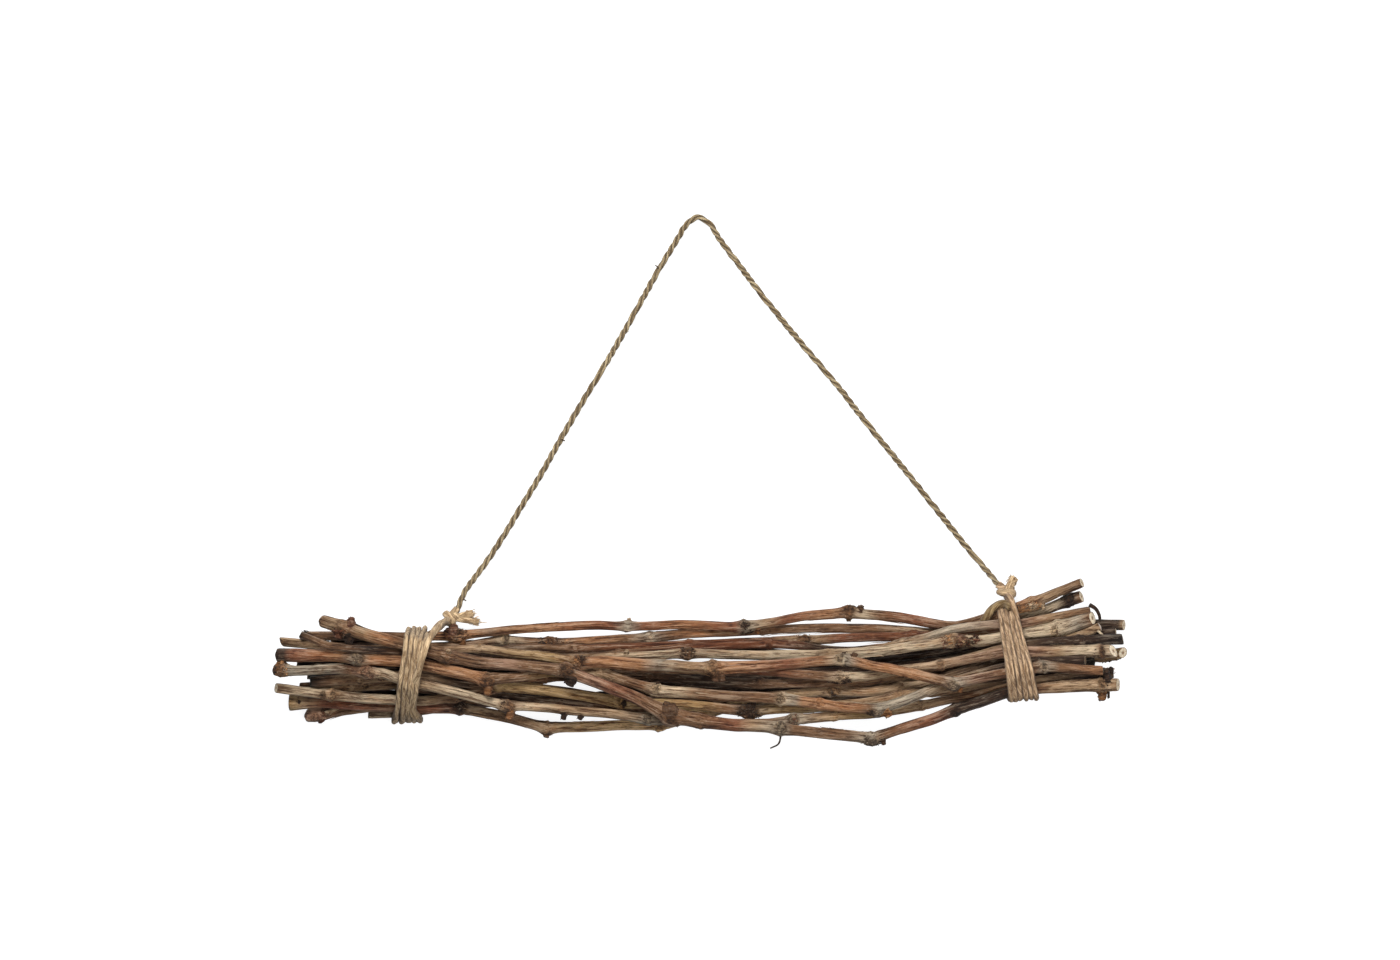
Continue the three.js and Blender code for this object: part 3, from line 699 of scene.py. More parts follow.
def add_stub(skin, line, x, angle, length, thick, tone, rng):
    """What is left of a side shoot, tendril or bud: a short knobbly rod, splintered at its end."""
    tint, crust = TONES[tone]
    middle, out, along = line.spot(x * MM, angle)
    way = unit(out + 0.3 * rng.uniform(-1, 1) * along)
    root = middle + 0.5 * line.radius(x * MM) * out
    reach = 0.5 * line.radius(x * MM) + length * MM
    steps = np.linspace(0, 1, 14)
    bend = 0.15 * length * MM * np.sin(steps * math.pi)[:, None] * along
    path = root + steps[:, None] * reach * way + bend
    radii = thick / 2 * MM * np.interp(steps, [0, 0.45, 0.7, 0.85, 1], [1.5, 1.0, 0.85, 0.95, 0.6])
    add_rod(skin, path, radii, sides=14, tint=tint, crust=crust, rng=rng, rough=0.16)
    stump = path[-3]
    for _ in range(int(4 + thick)):
        side = unit(rng.normal(0, 1, 3))
        side = unit(side - side @ way * way)
        start = stump + 0.3 * thick * MM * side
        splinter = rng.uniform(0.5, 1.6) * MM * unit(way + 0.5 * side)
        path = start + np.linspace(0, 1, 4)[:, None] * splinter
        radii = rng.uniform(0.15, 0.4) * MM * np.array([1, 0.9, 0.6, 0.2])
        shade = rng.uniform(0.5, 1.3)
        add_rod(skin, path, radii, sides=5, tint=np.array(tint) * shade, crust=crust)


def add_strips(skin, line, look, rng):
    """Loose strips of bark that lie along the cane and lift a little at their ends."""
    for _ in range(BARK_STRIPS):
        length = rng.uniform(14, 46) * MM
        start = rng.uniform(line.x[0] + 4 * MM, line.x[-1] - length - 4 * MM)
        angle = rng.uniform(-30, 210)
        x = np.linspace(start, start + length, STRIP_POINTS)
        turn = angle + np.cumsum(rng.normal(0, 1.2, STRIP_POINTS))
        t = np.linspace(-1, 1, STRIP_POINTS)
        lift = 0.1 * MM + rng.uniform(0.1, 0.9) * MM * np.abs(t) ** 6
        path = []
        for place, degrees, high in zip(x, turn, lift):
            middle, out, _ = line.spot(place, degrees)
            path.append(middle + (line.radius(place) + high) * out)
        tint = tint_along(look["tint"], x.mean()) * rng.uniform(0.7, 1.5)
        radii = rng.uniform(0.18, 0.42) * MM * np.clip(1.15 - t ** 4, 0.15, 1)
        add_rod(skin, np.array(path), radii, sides=6, tint=tint, crust=0.1, rng=rng, rough=0.1)


def add_tendril(skin, line, x, points, thick, tone):
    """A thin tendril or splinter. Its points' heights are over the cane's middle at x."""
    tint, crust = TONES[tone]
    path = smooth_path(raised(line, x, points), 0.8 * MM)
    radii = thick / 2 * MM * np.linspace(1.2, 0.8, len(path))
    add_rod(skin, path, radii, sides=7, tint=tint, crust=crust)


def add_branch(skin, line, x, points, thick, bark, rng):
    """A side branch as thick as a cane, with a cut end. Its heights are as a tendril's."""
    path = smooth_path(raised(line, x, points), 1.2 * MM)
    radii = thick / 2 * MM * np.linspace(1.15, 1.0, len(path))
    add_rod(skin, path, radii, sides=20, tint=BARKS[bark], rng=rng, rough=0.035)
    ahead = unit(path[-1] - path[-3])
    disc = path[-1] + np.array([[-0.5], [0.3], [0.45]]) * MM * ahead
    add_rod(skin, disc, np.array([0.9, 0.92, 0.86]) * radii[-1], sides=20, slot=1)


def raised(line, x, points):
    """Points in mm whose heights are over the cane's middle at x, in metres."""
    level = line.middle(x * MM)[2] / MM
    return (np.array(points) + (0, 0, level)) * MM


# Fork and tendrils of single canes: [x, points, thickness, bark or tone].
BRANCHES = {
    "cane_13": [(252, [(246, 15, 0), (258, 15.5, 0), (269, 19, 0), (280, 24, 0)], 6.2, "tan")],
}
TENDRILS = {
    "cane_09": [(-258, [(-263, -36.5, 3), (-257, -34.5, 4), (-249.5, -31, 3)], 2.6, "pale")],
    "cane_13": [
        (252, [(273, 39.5, 0), (277, 37, 1), (279.5, 33, 1), (280.5, 28, 0)], 2.6, "dark"),
        (252, [(278.5, 21.5, 3), (282, 18.6, 3), (285, 15.8, 2)], 1.6, "wood"),
    ],
    "cane_23": [
        (55, [(56, -48, 0), (56, -53, 0), (55, -56.5, 0), (49, -60, 1)], 1.3, "dark"),
        (-245, [(-245, 29, 2), (-238, 25.5, 2), (-231, 22.5, 1)], 1.2, "dark"),
    ],
}

# What each cane looks like, in mm and degrees round the cane, where 0 is +Y and 90 is up.
# tint: its bark at places along it, [x, bark]. scabs: rough patches, [x, angle, size].
# scales: rough knobs, [x, angle, size, tone]. stubs: what is left of buds and side shoots,
# [x, angle, length, thickness, tone]. cuts: how far each end's cut slants, and which way.
# worn: how dark each cut has gone. rounded: how far each end is rounded off.
LOOKS = {
    # cane_01 to cane_08, and the dark and black stretches where other canes run inside the bundle, are
    # tinted near black: partly their own dark bark, partly painted shade.
    "cane_01": dict(tint=[(-259, "dark"), (-200, "black"), (266, "dark")], worn=(0.9, 0.8)),
    "cane_02": dict(tint=[(-256, "black"), (0, "dark")], worn=(0.9, 0.8)),
    "cane_03": dict(tint=[(-276, "black"), (-150, "dark")], worn=(0.9, 0.8)),
    "cane_04": dict(tint=[(-252, "black"), (-150, "dark")], worn=(0.9, 0.4)),
    "cane_05": dict(
        tint=[(-233, "pale"), (-195, "brown"), (-60, "dark"), (150, "brown"), (269, "dark")],
        worn=(0.3, 0.8),
    ),
    "cane_06": dict(tint=[(-252, "black"), (-100, "dark")], worn=(0.9, 0.8)),
    "cane_07": dict(tint=[(-256, "black"), (-100, "dark")], worn=(0.9, 0.4)),
    "cane_08": dict(tint=[(-249, "black"), (-100, "dark")], worn=(0.9, 0.8)),
    "cane_09": dict(
        tint=[(-268, "pink"), (-258, "brown"), (-250, "brown"), (-231, "tan"), (-168, "brown"),
            (0, "dark"), (90, "brown"), (119, "brown"), (210, "dark"), (270, "brown"), (297, "gold")],
        scabs=[(-270, 120, 8), (-262, 60, 7)],
        scales=[(-265, 120, 3.5, "red"), (-257, 60, 2.5, "dark"), (99, 90, 3.5, "dark"),
            (286, 205, 4.5, "dark"), (292, 200, 4, "bark")],
        stubs=[(-260, 90, 1.2, 3.5, "pale"), (-268, 200, 1.5, 5, "red")],
        rounded=(4, 0), cuts=((0.4, 60), (-1, 100)), worn=(0.8, 0),
    ),
    "cane_10": dict(
        tint=[(-240, "tan"), (-188, "brown"), (-150, "brown"), (-137, "pale"), (-120, "brown"),
            (-92, "brown"), (-80, "orange"), (-50, "brown"), (-35, "grey"), (-22, "brown"),
            (0, "orange"), (45, "brown"), (126, "brown"), (160, "tan"), (200, "grey"), (232, "pale"),
            (249, "pale"), (256, "dark"), (263, "dark"), (268, "brown")],
        scabs=[(-105, 90, 9), (260, 70, 7), (-137, 60, 6), (-294, 90, 6)],
        scales=[(-137, 60, 3.5, "pale"), (-137, 190, 3, "bark"), (-111, 80, 4, "dark"),
            (-100, 90, 5, "bark"), (-106, 60, 4, "orange"), (-95, 100, 4, "flame"),
            (-35, 80, 3, "pale"), (259, 70, 4.5, "dark"), (262, 10, 3.5, "dark")],
        stubs=[(-139, 10, 2, 4, "pale"), (-35, 190, 2.5, 4, "dark")],
        cuts=((0.5, 200), (-0.35, 80)), worn=(0.7, 0),
    ),
    "cane_11": dict(
        tint=[(-281, "dark"), (-270, "brown"), (-250, "dark"), (-209, "brown"), (-168, "orange"),
            (-147, "brown"), (-112, "orange"), (-62, "red"), (-51, "grey"), (-40, "red"),
            (-14, "orange"), (25, "red"), (31, "grey"), (45, "tan"), (60, "red"), (90, "orange"),
            (105, "brown"), (116, "pale"), (126, "brown"), (150, "red"), (175, "brown"), (205, "brown"),
            (228, "orange"), (240, "tan"), (268, "brown")],
        scabs=[(31, 60, 10), (31, 200, 10), (105, 40, 8), (230, 160, 13)],
        scales=[(-51, 10, 3, "pale"), (-277, 60, 3.5, "dark"), (-262, 190, 4, "dark"),
            (-176, 70, 5, "red"), (-170, 90, 5, "bark"), (205, 60, 3, "pale"), (-172, 20, 5, "dark"),
            (-166, 60, 4, "bark"), (31, 60, 4, "dark"), (33, 200, 4.5, "dark"), (29, 330, 3.5, "dark"),
            (107, 10, 4, "bark"), (111, 10, 3.5, "bark"), (104, 130, 3, "bark"), (233, 120, 6, "pale"),
            (227, 150, 6, "flame"), (235, 180, 6, "flame"), (230, 210, 5, "flame"),
            (223, 60, 4, "dark")],
        stubs=[(-168, 185, 3, 5, "orange"), (-174, 20, 4, 7, "red"), (-49, 5, 2, 3, "pale"),
            (40, 200, 3, 4, "orange"), (112, 15, 2, 5, "bark"), (104, 190, 1.5, 4, "bark"),
            (238, 170, 3, 3.5, "pale")],
        rounded=(2.5, 0), cuts=((0.5, 20), (-0.35, 90)), worn=(0.9, 0.1),
    ),
    "cane_12": dict(
        tint=[(-254, "black"), (-150, "dark"), (-100, "brown"), (-50, "rust"), (45, "rust"),
            (64, "tan"), (73, "brown"), (82, "tan"), (98, "red"), (130, "rust"), (165, "rust"),
            (210, "brown"), (252, "brown"), (279, "dark"), (294, "dark"), (298, "tan")],
        scabs=[(73, 80, 10)],
        scales=[(69, 60, 2.5, "dark"), (77, 110, 2.5, "dark"), (-88, 90, 3, "dark")],
        cuts=((0.3, 60), (-0.5, 90)), worn=(0.9, 0),
    ),
    "cane_13": dict(
        tint=[(-249, "black"), (-120, "brown"), (-63, "tan"), (-25, "pale"), (-9, "brown"),
            (14, "pale"), (70, "pale"), (91, "tan"), (113, "pale"), (161, "pale"), (178, "tan"),
            (199, "pale"), (252, "pale"), (264, "grey"), (275, "brown")],
        scabs=[(-9, 70, 10), (183, 100, 13), (248, 100, 5)],
        scales=[(-12, 60, 4, "dark"), (-6, 90, 4, "dark"), (-9, 130, 3.5, "dark"),
            (175, 60, 4, "flame"), (181, 110, 5, "red"), (188, 150, 5, "dark"), (179, 170, 5, "dark"),
            (193, 80, 5, "red"), (171, 90, 4, "red"), (184, 60, 5, "red"), (250, 110, 2.5, "bark")],
        stubs=[(-52, 40, 2.5, 3.5, "pale")],
        cuts=((0.3, 60), (-0.55, 95)), worn=(0.9, 0),
    ),
    "cane_14": dict(
        # painted shade: from 0 to 112 mm this cane is tinted rust and then dark, so that it looks like
        # the shaded lower side of cane_12 beside it.
        tint=[(-258, "black"), (-120, "dark"), (-56, "brown"), (0, "rust"), (60, "rust"), (80, "dark"),
            (112, "dark"), (129, "tan"), (175, "grey"), (225, "pink"), (245, "tan"), (273, "brown")],
        worn=(0.9, 0.4),
    ),
    "cane_15": dict(
        tint=[(-278, "black"), (-154, "dark"), (-14, "brown"), (42, "red"), (85, "brown"),
            (105, "pale"), (143, "tan"), (231, "pink"), (250, "tan"), (262, "pale"), (274, "pale"),
            (280, "brown"), (289, "pale")],
        scabs=[(100, 120, 11), (281, 90, 5)],
        scales=[(95, 90, 3.5, "pale"), (101, 100, 4.5, "dark"), (102, 150, 5, "dark"),
            (94, 190, 4, "dark"), (281, 170, 3.5, "bark"), (280, 60, 2.5, "dark"),
            (276, 200, 4, "dark")],
        cuts=((0.3, 60), (-0.8, 60)), worn=(0.9, 0),
    ),
    "cane_16": dict(
        tint=[(-281, "brown"), (-260, "tan"), (-235, "tan"), (-205, "brown"), (-133, "dark"),
            (0, "brown"), (91, "tan"), (225, "dark"), (276, "black")],
        scabs=[(-235, 90, 5)],
        scales=[(-245, 100, 3.5, "dark"), (-160, 90, 3.5, "dark")],
        worn=(0.6, 0.6),
    ),
    "cane_17": dict(
        tint=[(-273, "black"), (-258, "brown"), (-238, "tan"), (-205, "tan"), (-168, "dark"),
            (-146, "brown"), (-141, "gold"), (0, "gold"), (20, "brown"), (35, "dark"), (60, "gold"),
            (112, "tan"), (175, "tan"), (225, "dark"), (276, "black")],
        scabs=[(35, 90, 13), (35, 180, 12), (-54, 90, 6), (-222, 90, 7)],
        scales=[(35, 60, 5, "dark"), (33, 150, 5, "bark"), (29, 100, 4.5, "dark"),
            (40, 160, 4.5, "dark"), (-53, 80, 3, "dark")],
        stubs=[(38, 20, 3, 2.5, "dark"), (-54, 90, 1.5, 4, "dark")],
        worn=(0.8, 0.6),
    ),
    "cane_18": dict(
        tint=[(-288, "gold"), (-278, "tan"), (-262, "red"), (-240, "red"), (-212, "brown"),
            (-190, "red"), (-168, "dark"), (-155, "tan"), (-130, "brown"), (-107, "tan"),
            (-84, "straw"), (-20, "straw"), (92, "tan"), (140, "tan"), (222, "dark")],
        scabs=[(-107, 170, 7), (-28, 90, 6), (-168, 90, 11), (94, 90, 10)],
        scales=[(-107, 180, 3, "bark"), (-168, 80, 4, "dark"), (93, 90, 4.5, "dark"),
            (-281, 60, 2, "dark"), (-28, 90, 3, "bark")],
        stubs=[(-107, 180, 1.5, 5, "bark"), (-280, 80, 0.5, 3, "dark")],
        cuts=((0.05, 90), (-0.4, 90)), worn=(0.4, 0.1),
    ),
    "cane_19": dict(
        tint=[(-297, "tan"), (-275, "pale"), (-255, "tan"), (-240, "pale"), (-212, "pale"),
            (-190, "tan"), (-172, "brown"), (-109, "brown"), (0, "dark"), (91, "brown"), (182, "tan"),
            (240, "dark"), (266, "dark"), (296, "black")],
        scabs=[(-264, 95, 4.5), (-257, 95, 4.5)],
        scales=[(-264, 95, 2.4, "bark"), (-257, 95, 2.4, "orange")],
        cuts=((0.4, 90), (-0.4, 60)), worn=(0.3, 1.0),
    ),
    "cane_20": dict(
        tint=[(-299, "dark"), (-291, "brown"), (-287, "grey"), (-258, "grey"), (-245, "brown"),
            (-233, "pink"), (-221, "pale"), (-195, "tan"), (-168, "pale"), (-145, "pale"),
            (-133, "brown"), (-120, "pale"), (-100, "tan"), (-56, "tan"), (-37, "grey"), (0, "tan"),
            (49, "brown"), (66, "grey"), (85, "tan"), (110, "gold"), (154, "tan"), (192, "brown"),
            (230, "tan"), (270, "dark")],
        scabs=[(-297, 90, 6), (-135, 100, 11), (66, 90, 8), (-37, 90, 6), (-232, 90, 12)],
        scales=[(-293, 60, 4, "orange"), (-291, 20, 3.5, "orange"), (-289, 100, 3, "flame"),
            (-137, 70, 3.5, "dark"), (-133, 110, 3.5, "bark"), (66, 90, 3.5, "red"),
            (-37, 60, 3.5, "pale"), (-84, 190, 2.5, "dark"), (-234, 80, 3, "pale"),
            (-229, 110, 3, "red"), (-224, 90, 2.5, "pale"), (279, 60, 4.5, "dark"),
            (284, 100, 4.5, "dark"), (287, 40, 3.5, "orange")],
        stubs=[(-295.5, 10, 8, 3.4, "orange"), (-293.5, 20, 7, 3, "flame"),
            (-133, 188, 5, 6.5, "orange"), (-95, 185, 3.5, 4.5, "dark"), (-83, 185, 2.5, 4.5, "dark"),
            (286, 60, 3.5, 4, "dark")],
        rounded=(3, 0), cuts=((0, 0), (-0.3, 90)), worn=(0.9, 0.9),
    ),
    "cane_21": dict(
        tint=[(-290, "dark"), (-284, "red"), (-252, "orange"), (-240, "grey"), (-230, "orange"),
            (-154, "orange"), (-148, "brown"), (-126, "brown"), (-105, "gold"), (-70, "tan"),
            (-53, "brown"), (-40, "brown"), (-30, "pale"), (-15, "pale"), (0, "brown"), (52, "brown"),
            (58, "pale"), (66, "grey"), (72, "orange"), (105, "orange"), (118, "brown"), (124, "grey"),
            (150, "grey"), (168, "tan"), (210, "dark")],
        scabs=[(-296, 90, 5), (-148, 120, 10), (-238, 90, 9), (-31, 60, 7), (57, 90, 7),
            (121, 130, 10)],
        scales=[(-150, 80, 3, "dark"), (-146, 140, 3.5, "bark"), (124, 185, 4, "orange"),
            (119, 160, 4, "dark"), (57, 80, 3, "pale"), (-238, 90, 3.5, "grey"), (-240, 50, 3, "pale")],
        stubs=[(-148.5, 185, 5.5, 6.5, "orange"), (-70, 40, 3, 4, "pale"), (-31, 20, 2, 3, "dark"),
            (128, 186, 3, 7, "flame")],
        rounded=(2.5, 0), cuts=((0, 0), (-0.3, 90)), worn=(0.9, 0.9),
    ),
    "cane_22": dict(
        tint=[(-279, "dark"), (-265, "brown"), (-230, "dark"), (-188, "brown"), (-154, "tan"),
            (-103, "gold"), (-86, "brown"), (-70, "orange"), (-42, "orange"), (-28, "grey"),
            (-10, "tan"), (5, "tan"), (20, "orange"), (60, "red"), (85, "orange"), (97, "pale"),
            (104, "grey"), (112, "orange"), (150, "orange"), (168, "brown"), (178, "grey"),
            (192, "pink"), (210, "brown"), (232, "brown"), (239, "grey"), (250, "brown"),
            (281, "orange")],
        scabs=[(9, 140, 10), (98, 70, 6), (176, 120, 9), (-84, 60, 9), (239, 90, 5)],
        scales=[(12, 200, 4.5, "orange"), (8, 80, 3, "dark"), (101, 70, 3, "dark"),
            (176, 180, 4, "dark"), (-86, 40, 3.5, "flame"), (-82, 60, 3.5, "dark"),
            (-79, 40, 3, "bark"), (238, 120, 2.5, "bark")],
        stubs=[(10, 190, 4, 7, "bark"), (13, 186, 5, 5, "bark"), (106, 14, 1.6, 4.6, "bark"),
            (180, 185, 3, 4, "orange")],
        cuts=((0.3, 60), (-0.2, 60)), worn=(0.9, 0.1),
    ),
    "cane_23": dict(
        tint=[(-266, "brown"), (-256, "tan"), (-247, "brown"), (-235, "tan"), (-220, "orange"),
            (-209, "brown"), (-154, "brown"), (-136, "pink"), (-119, "brown"), (-88, "brown"),
            (-80, "pink"), (-60, "red"), (-35, "brown"), (0, "brown"), (25, "red"), (38, "tan"),
            (56, "grey"), (65, "brown"), (100, "brown"), (120, "grey"), (130, "brown"), (160, "red"),
            (178, "dark"), (213, "dark"), (235, "brown"), (245, "tan")],
        # the scab at -259 on the lower side, at 195 degrees, darkens the lower half of the left end:
        # partly crust, partly painted shade.
        scabs=[(-250, 140, 8), (-259, 195, 12), (-93, 90, 10), (-20, 90, 6), (56, 80, 9),
            (120, 140, 10), (178, 120, 8), (215, 90, 9)],
        scales=[(-251, 185, 5, "red"), (-245, 195, 4.5, "dark"), (-248, 160, 4, "red"),
            (-96, 60, 3.5, "dark"), (-89, 20, 3.5, "dark"), (-92, 110, 3, "bark"),
            (-26, 120, 2.5, "bark"), (-15, 150, 2.5, "bark"), (56, 60, 2.5, "grey"),
            (121, 190, 5.5, "grey"), (117, 120, 4.5, "grey"), (125, 180, 4, "dark"),
            (178, 150, 3, "dark"), (283, 60, 3, "dark")],
        stubs=[(-244.5, 20, 3.5, 6, "red"), (-252, 190, 4, 7, "red"), (-244, 190, 5, 7, "dark"),
            (-177.5, 60, 2.5, 4, "pale"), (-89, 186, 3.6, 9, "dark"), (-22, 40, 1.2, 10, "bark"),
            (126, 195, 3, 4, "bark"), (283, 5, 5, 7, "dark"), (280, 195, 6, 6.5, "orange"),
            (284, 190, 5, 2, "dark"), (279, 190, 6.5, 2, "dark")],
        rounded=(4, 0), cuts=((0.1, 90), (-0.5, 90)), worn=(0.9, 0),
    ),
}


def add_piece(skin, name, node, materials):
    piece = skin.build(name, materials)
    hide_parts(node)
    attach(piece, "root")
    return piece


def add_cane(node, materials):
    look = LOOKS[node]
    number = int(node[-2:])
    hidden = number <= HIDDEN_CANES
    step, sides = (HIDDEN_STEP, HIDDEN_SIDES) if hidden else (CANE_STEP, CANE_SIDES)
    rng = np.random.default_rng(CANE_SEED + number)
    line = Line(node)
    skin = Skin()
    add_cane_body(skin, line, look, rng, step, sides)
    for scales in look.get("scales", ()):
        add_scales(skin, line, *scales, rng)
    for stub in look.get("stubs", ()):
        add_stub(skin, line, *stub, rng)
    if not hidden:
        add_strips(skin, line, look, rng)
    for branch in BRANCHES.get(node, ()):
        add_branch(skin, line, *branch, rng)
    for tendril in TENDRILS.get(node, ()):
        add_tendril(skin, line, *tendril)
    add_piece(skin, node + "_vine", node, materials)
    return line


# ------------------------------------------------------------------ the twine

TWINE = 4 * MM
TWIST = 24 * MM             # one full turn of the three strands
STRAND_MIDDLE = 0.536       # of the twine's radius, for three strands that touch
STRAND_RADIUS = 0.464
GROOVE_FLOOR = 0.62         # how deep the grooves between strands go, as a radius
TWINE_SIDES = 24
ABOVE_SURFACE = 0.1 * MM
FRAYED_FIBRES = 60
FRAY_LENGTH = 4.2 * MM


def add_twine(skin, path, rng, thick, twist=TWIST, depth=1.0, tint=(1, 1, 1), flank_shade=0.0):
    """Three-strand twine along a path of even points, twisted to the left.

    depth is of its grooves, and the last argument paints shade on the sides that face its neighbours in
    a tie.
    """
    _, side, up = frames(path)
    s = travelled(path)
    around = np.arange(TWINE_SIDES) * TAU / TWINE_SIDES
    lobe = (around + TAU / 6) % (TAU / 3) - TAU / 6
    inside = np.maximum(STRAND_RADIUS ** 2 - (STRAND_MIDDLE * np.sin(lobe)) ** 2, 0)
    shape = np.maximum(STRAND_MIDDLE * np.cos(lobe) + np.sqrt(inside), GROOVE_FLOOR)
    shape = 1 - depth * (1 - shape)
    run, turn = np.meshgrid(s, around, indexing="ij")
    fuzz = 0.05 * lattice(rng, run, turn, 3 * MM, 12) + 0.05 * lattice(rng, run, turn, 14 * MM, 3)
    radius = np.broadcast_to(thick, s.shape)[:, None] / 2 * shape * (1 + fuzz)
    uneven = 0.25 * lattice(rng, s, np.zeros_like(s), 17 * MM, 1)[:, None]
    angle = turn - TAU * (run / twist + uneven)
    out = np.cos(angle)[..., None] * side[:, None] + np.sin(angle)[..., None] * up[:, None]
    points = (path[:, None] + radius[..., None] * out).reshape(-1, 3)
    points = np.concatenate([points, path[[0, -1]]])
    points[:, 2] = np.maximum(points[:, 2], ABOVE_SURFACE)
    # painted shade: groove is how far a point sits down in a groove between strands, and it goes to the
    # jute material as crust, which darkens it
    groove = np.repeat(np.clip((0.93 - shape) / 0.3, 0, 1)[None], len(path), 0)
    # painted shade on the strands' sides that face the next pass in a tie
    groove = np.clip(groove + flank_shade * np.clip((np.abs(out[..., 0]) - 0.5) / 0.4, 0, 1), 0, 1)
    space = np.stack([run, radius * np.cos(turn), radius * np.sin(turn)], -1).reshape(-1, 3)
    space = np.concatenate([space, [[0, 0, 0], [s[-1], 0, 0]]])
    skin.add(points, tube_faces(len(path), TWINE_SIDES), space=space, tint=tint,
             crust=np.append(groove.ravel(), [0.5, 0.5]))


def add_fibres(skin, path, rng, every, longest):
    """Loose hairs of jute standing off a twine, about one for each stretch of it."""
    ahead, side, up = frames(path)
    for _ in range(int(travelled(path)[-1] / every)):
        k = rng.integers(1, len(path) - 1)
        turn = rng.uniform(0, TAU)
        out = math.cos(turn) * side[k] + math.sin(turn) * up[k]
        length = longest * rng.uniform(0.3, 1) ** 1.5
        way = rng.choice([-1, 1]) * ahead[k]
        root = path[k] + 0.85 * TWINE / 2 * out
        knee = root + length * (0.5 * way + rng.uniform(0.05, 0.3) * out)
        drift = rng.uniform(-0.2, 0.25) * out + 0.2 * rng.uniform(-1, 1, 3)
        tip = knee + length * (0.35 * way + drift)
        t = np.linspace(0, 1, 6)[:, None]
        hair = (1 - t) ** 2 * root + 2 * t * (1 - t) * knee + t ** 2 * tip
        hair[:, 2] = np.maximum(hair[:, 2], 0.3 * MM)
        add_rod(skin, hair, rng.uniform(0.05, 0.09) * MM * np.linspace(1.2, 0.7, 6), sides=3)


def add_fray(skin, start, way, rng, core):
    """A cut twine end that has come apart into loose bundles of fibre."""
    way = unit(way)
    steps = np.linspace(0, 1, 8)[:, None]
    for _ in range(FRAYED_FIBRES):
        offset = rng.normal(0, core, 3)
        drift = rng.normal(0, 0.9, 3) * MM
        curl = rng.normal(0, 0.12, 3) * FRAY_LENGTH
        path = start + offset + steps * FRAY_LENGTH * rng.uniform(0.7, 1.1) * way
        path = path + steps ** 2 * drift + np.sin(steps * math.pi) * curl
        path[:, 2] = np.maximum(path[:, 2], 0.5 * MM)
        add_rod(skin, path, rng.uniform(0.2, 0.42) * MM * np.linspace(1.1, 0.55, 8), sides=5)


SEAT_HALF = 12 * MM         # half width of the flat that each tie rests on, as in the CAD part
SEAT_RADIUS = 1.6 * MM
HULL_WAYS = 180             # directions that a tie's loop is felt out in
LOOP_POINTS = 241
TURN_STEP = 0.004           # of a turn
TIE_TWIST = 90 * MM         # the pull of the tie straightens its strands
TIE_GROOVE = 0.4
# how much painted shade darkens the sides of the tie's passes that face each other
TIE_FLANK_SHADE = 0.9


def hull_round(lines, tie, offset, lift):
    """An even closed loop round every cane at a tie's leaning plane, from the +Y edge by the back."""
    circles = []
    for line in lines:
        x = tie["x"] + offset
        # the plane leans, so a few steps find where the cane goes through it
        for _ in range(4):
            x = np.clip(x, line.x[0], line.x[-1])
            y = line.middle(x)[1]
            x = tie["x"] + offset + tie["lean"] * (y - tie["middle"])
        if line.x[0] - 4 * MM < x < line.x[-1] + 4 * MM:
            _, y, z = line.middle(x)
            circles.append((y, z, float(line.radius(x))))
    for side in (-1, 1):
        circles.append((tie["middle"] + side * SEAT_HALF, TWINE + 2 * MM, SEAT_RADIUS))
    circles = np.array(circles)
    loop = []
    for angle in np.arange(0, -TAU, -TAU / HULL_WAYS):
        normal = np.array([math.cos(angle), math.sin(angle)])
        best = circles[np.argmax(circles[:, :2] @ normal + circles[:, 2])]
        loop.append(best[:2] + (best[2] + lift) * normal)
    loop = np.array(loop + loop[:1])
    along = travelled(loop)
    even = np.linspace(0, along[-1], LOOP_POINTS)
    return np.stack([np.interp(even, along, loop[:, k]) for k in range(2)], -1)


def low_edge(y):
    """1 at the lowest edge that a tie goes round, and 0 a little above it."""
    return np.exp(-((y - y.min()) / (6 * MM)) ** 2)


def wound(lines, tie, rng):
    """The path of a tie's turns: front passes fan out between their offsets at either edge."""
    tops, bottoms, lifts = (np.array(tie[key]) * MM for key in ("tops", "bottoms", "lifts"))
    count = len(tops)
    loops = [hull_round(lines, tie, (top + bottom) / 2, TWINE * 0.48 + lift)
             for top, bottom, lift in zip(tops, bottoms, lifts)]
    done = np.arange(0.18, count - 0.10, TURN_STEP)
    turn = np.clip(done.astype(int), 0, count - 1)
    part = done - turn

    def on_loops(chosen):
        marks = np.linspace(0, 1, LOOP_POINTS)
        return np.array([[np.interp(p, marks, loops[j][:, k]) for k in range(2)]
                         for j, p in zip(chosen, part)])

    before = np.where(turn > 0, tops[turn - 1], tops[0] - 4 * MM)
    backward = before + (bottoms[turn] - before) * ease(np.clip(part * 2, 0, 1))
    forward = bottoms[turn] + (tops[turn] - bottoms[turn]) * np.clip(part * 2 - 1, 0, 1)
    offset = np.where(part < 0.5, backward, forward)
    blend = ease(np.clip(part / 0.35, 0, 1))[:, None]
    place = on_loops(np.maximum(turn - 1, 0)) * (1 - blend) + on_loops(turn) * blend
    low = low_edge(place[:, 0])
    offset = offset * (1 + tie["flare"] * low) + tie["slip"] * MM * low
    wander = 0.35 * MM * lattice(rng, done, np.zeros_like(done), 0.09, 1)
    x = tie["x"] + tie["lean"] * (place[:, 0] - tie["middle"]) + offset + wander
    return np.column_stack([x, place])


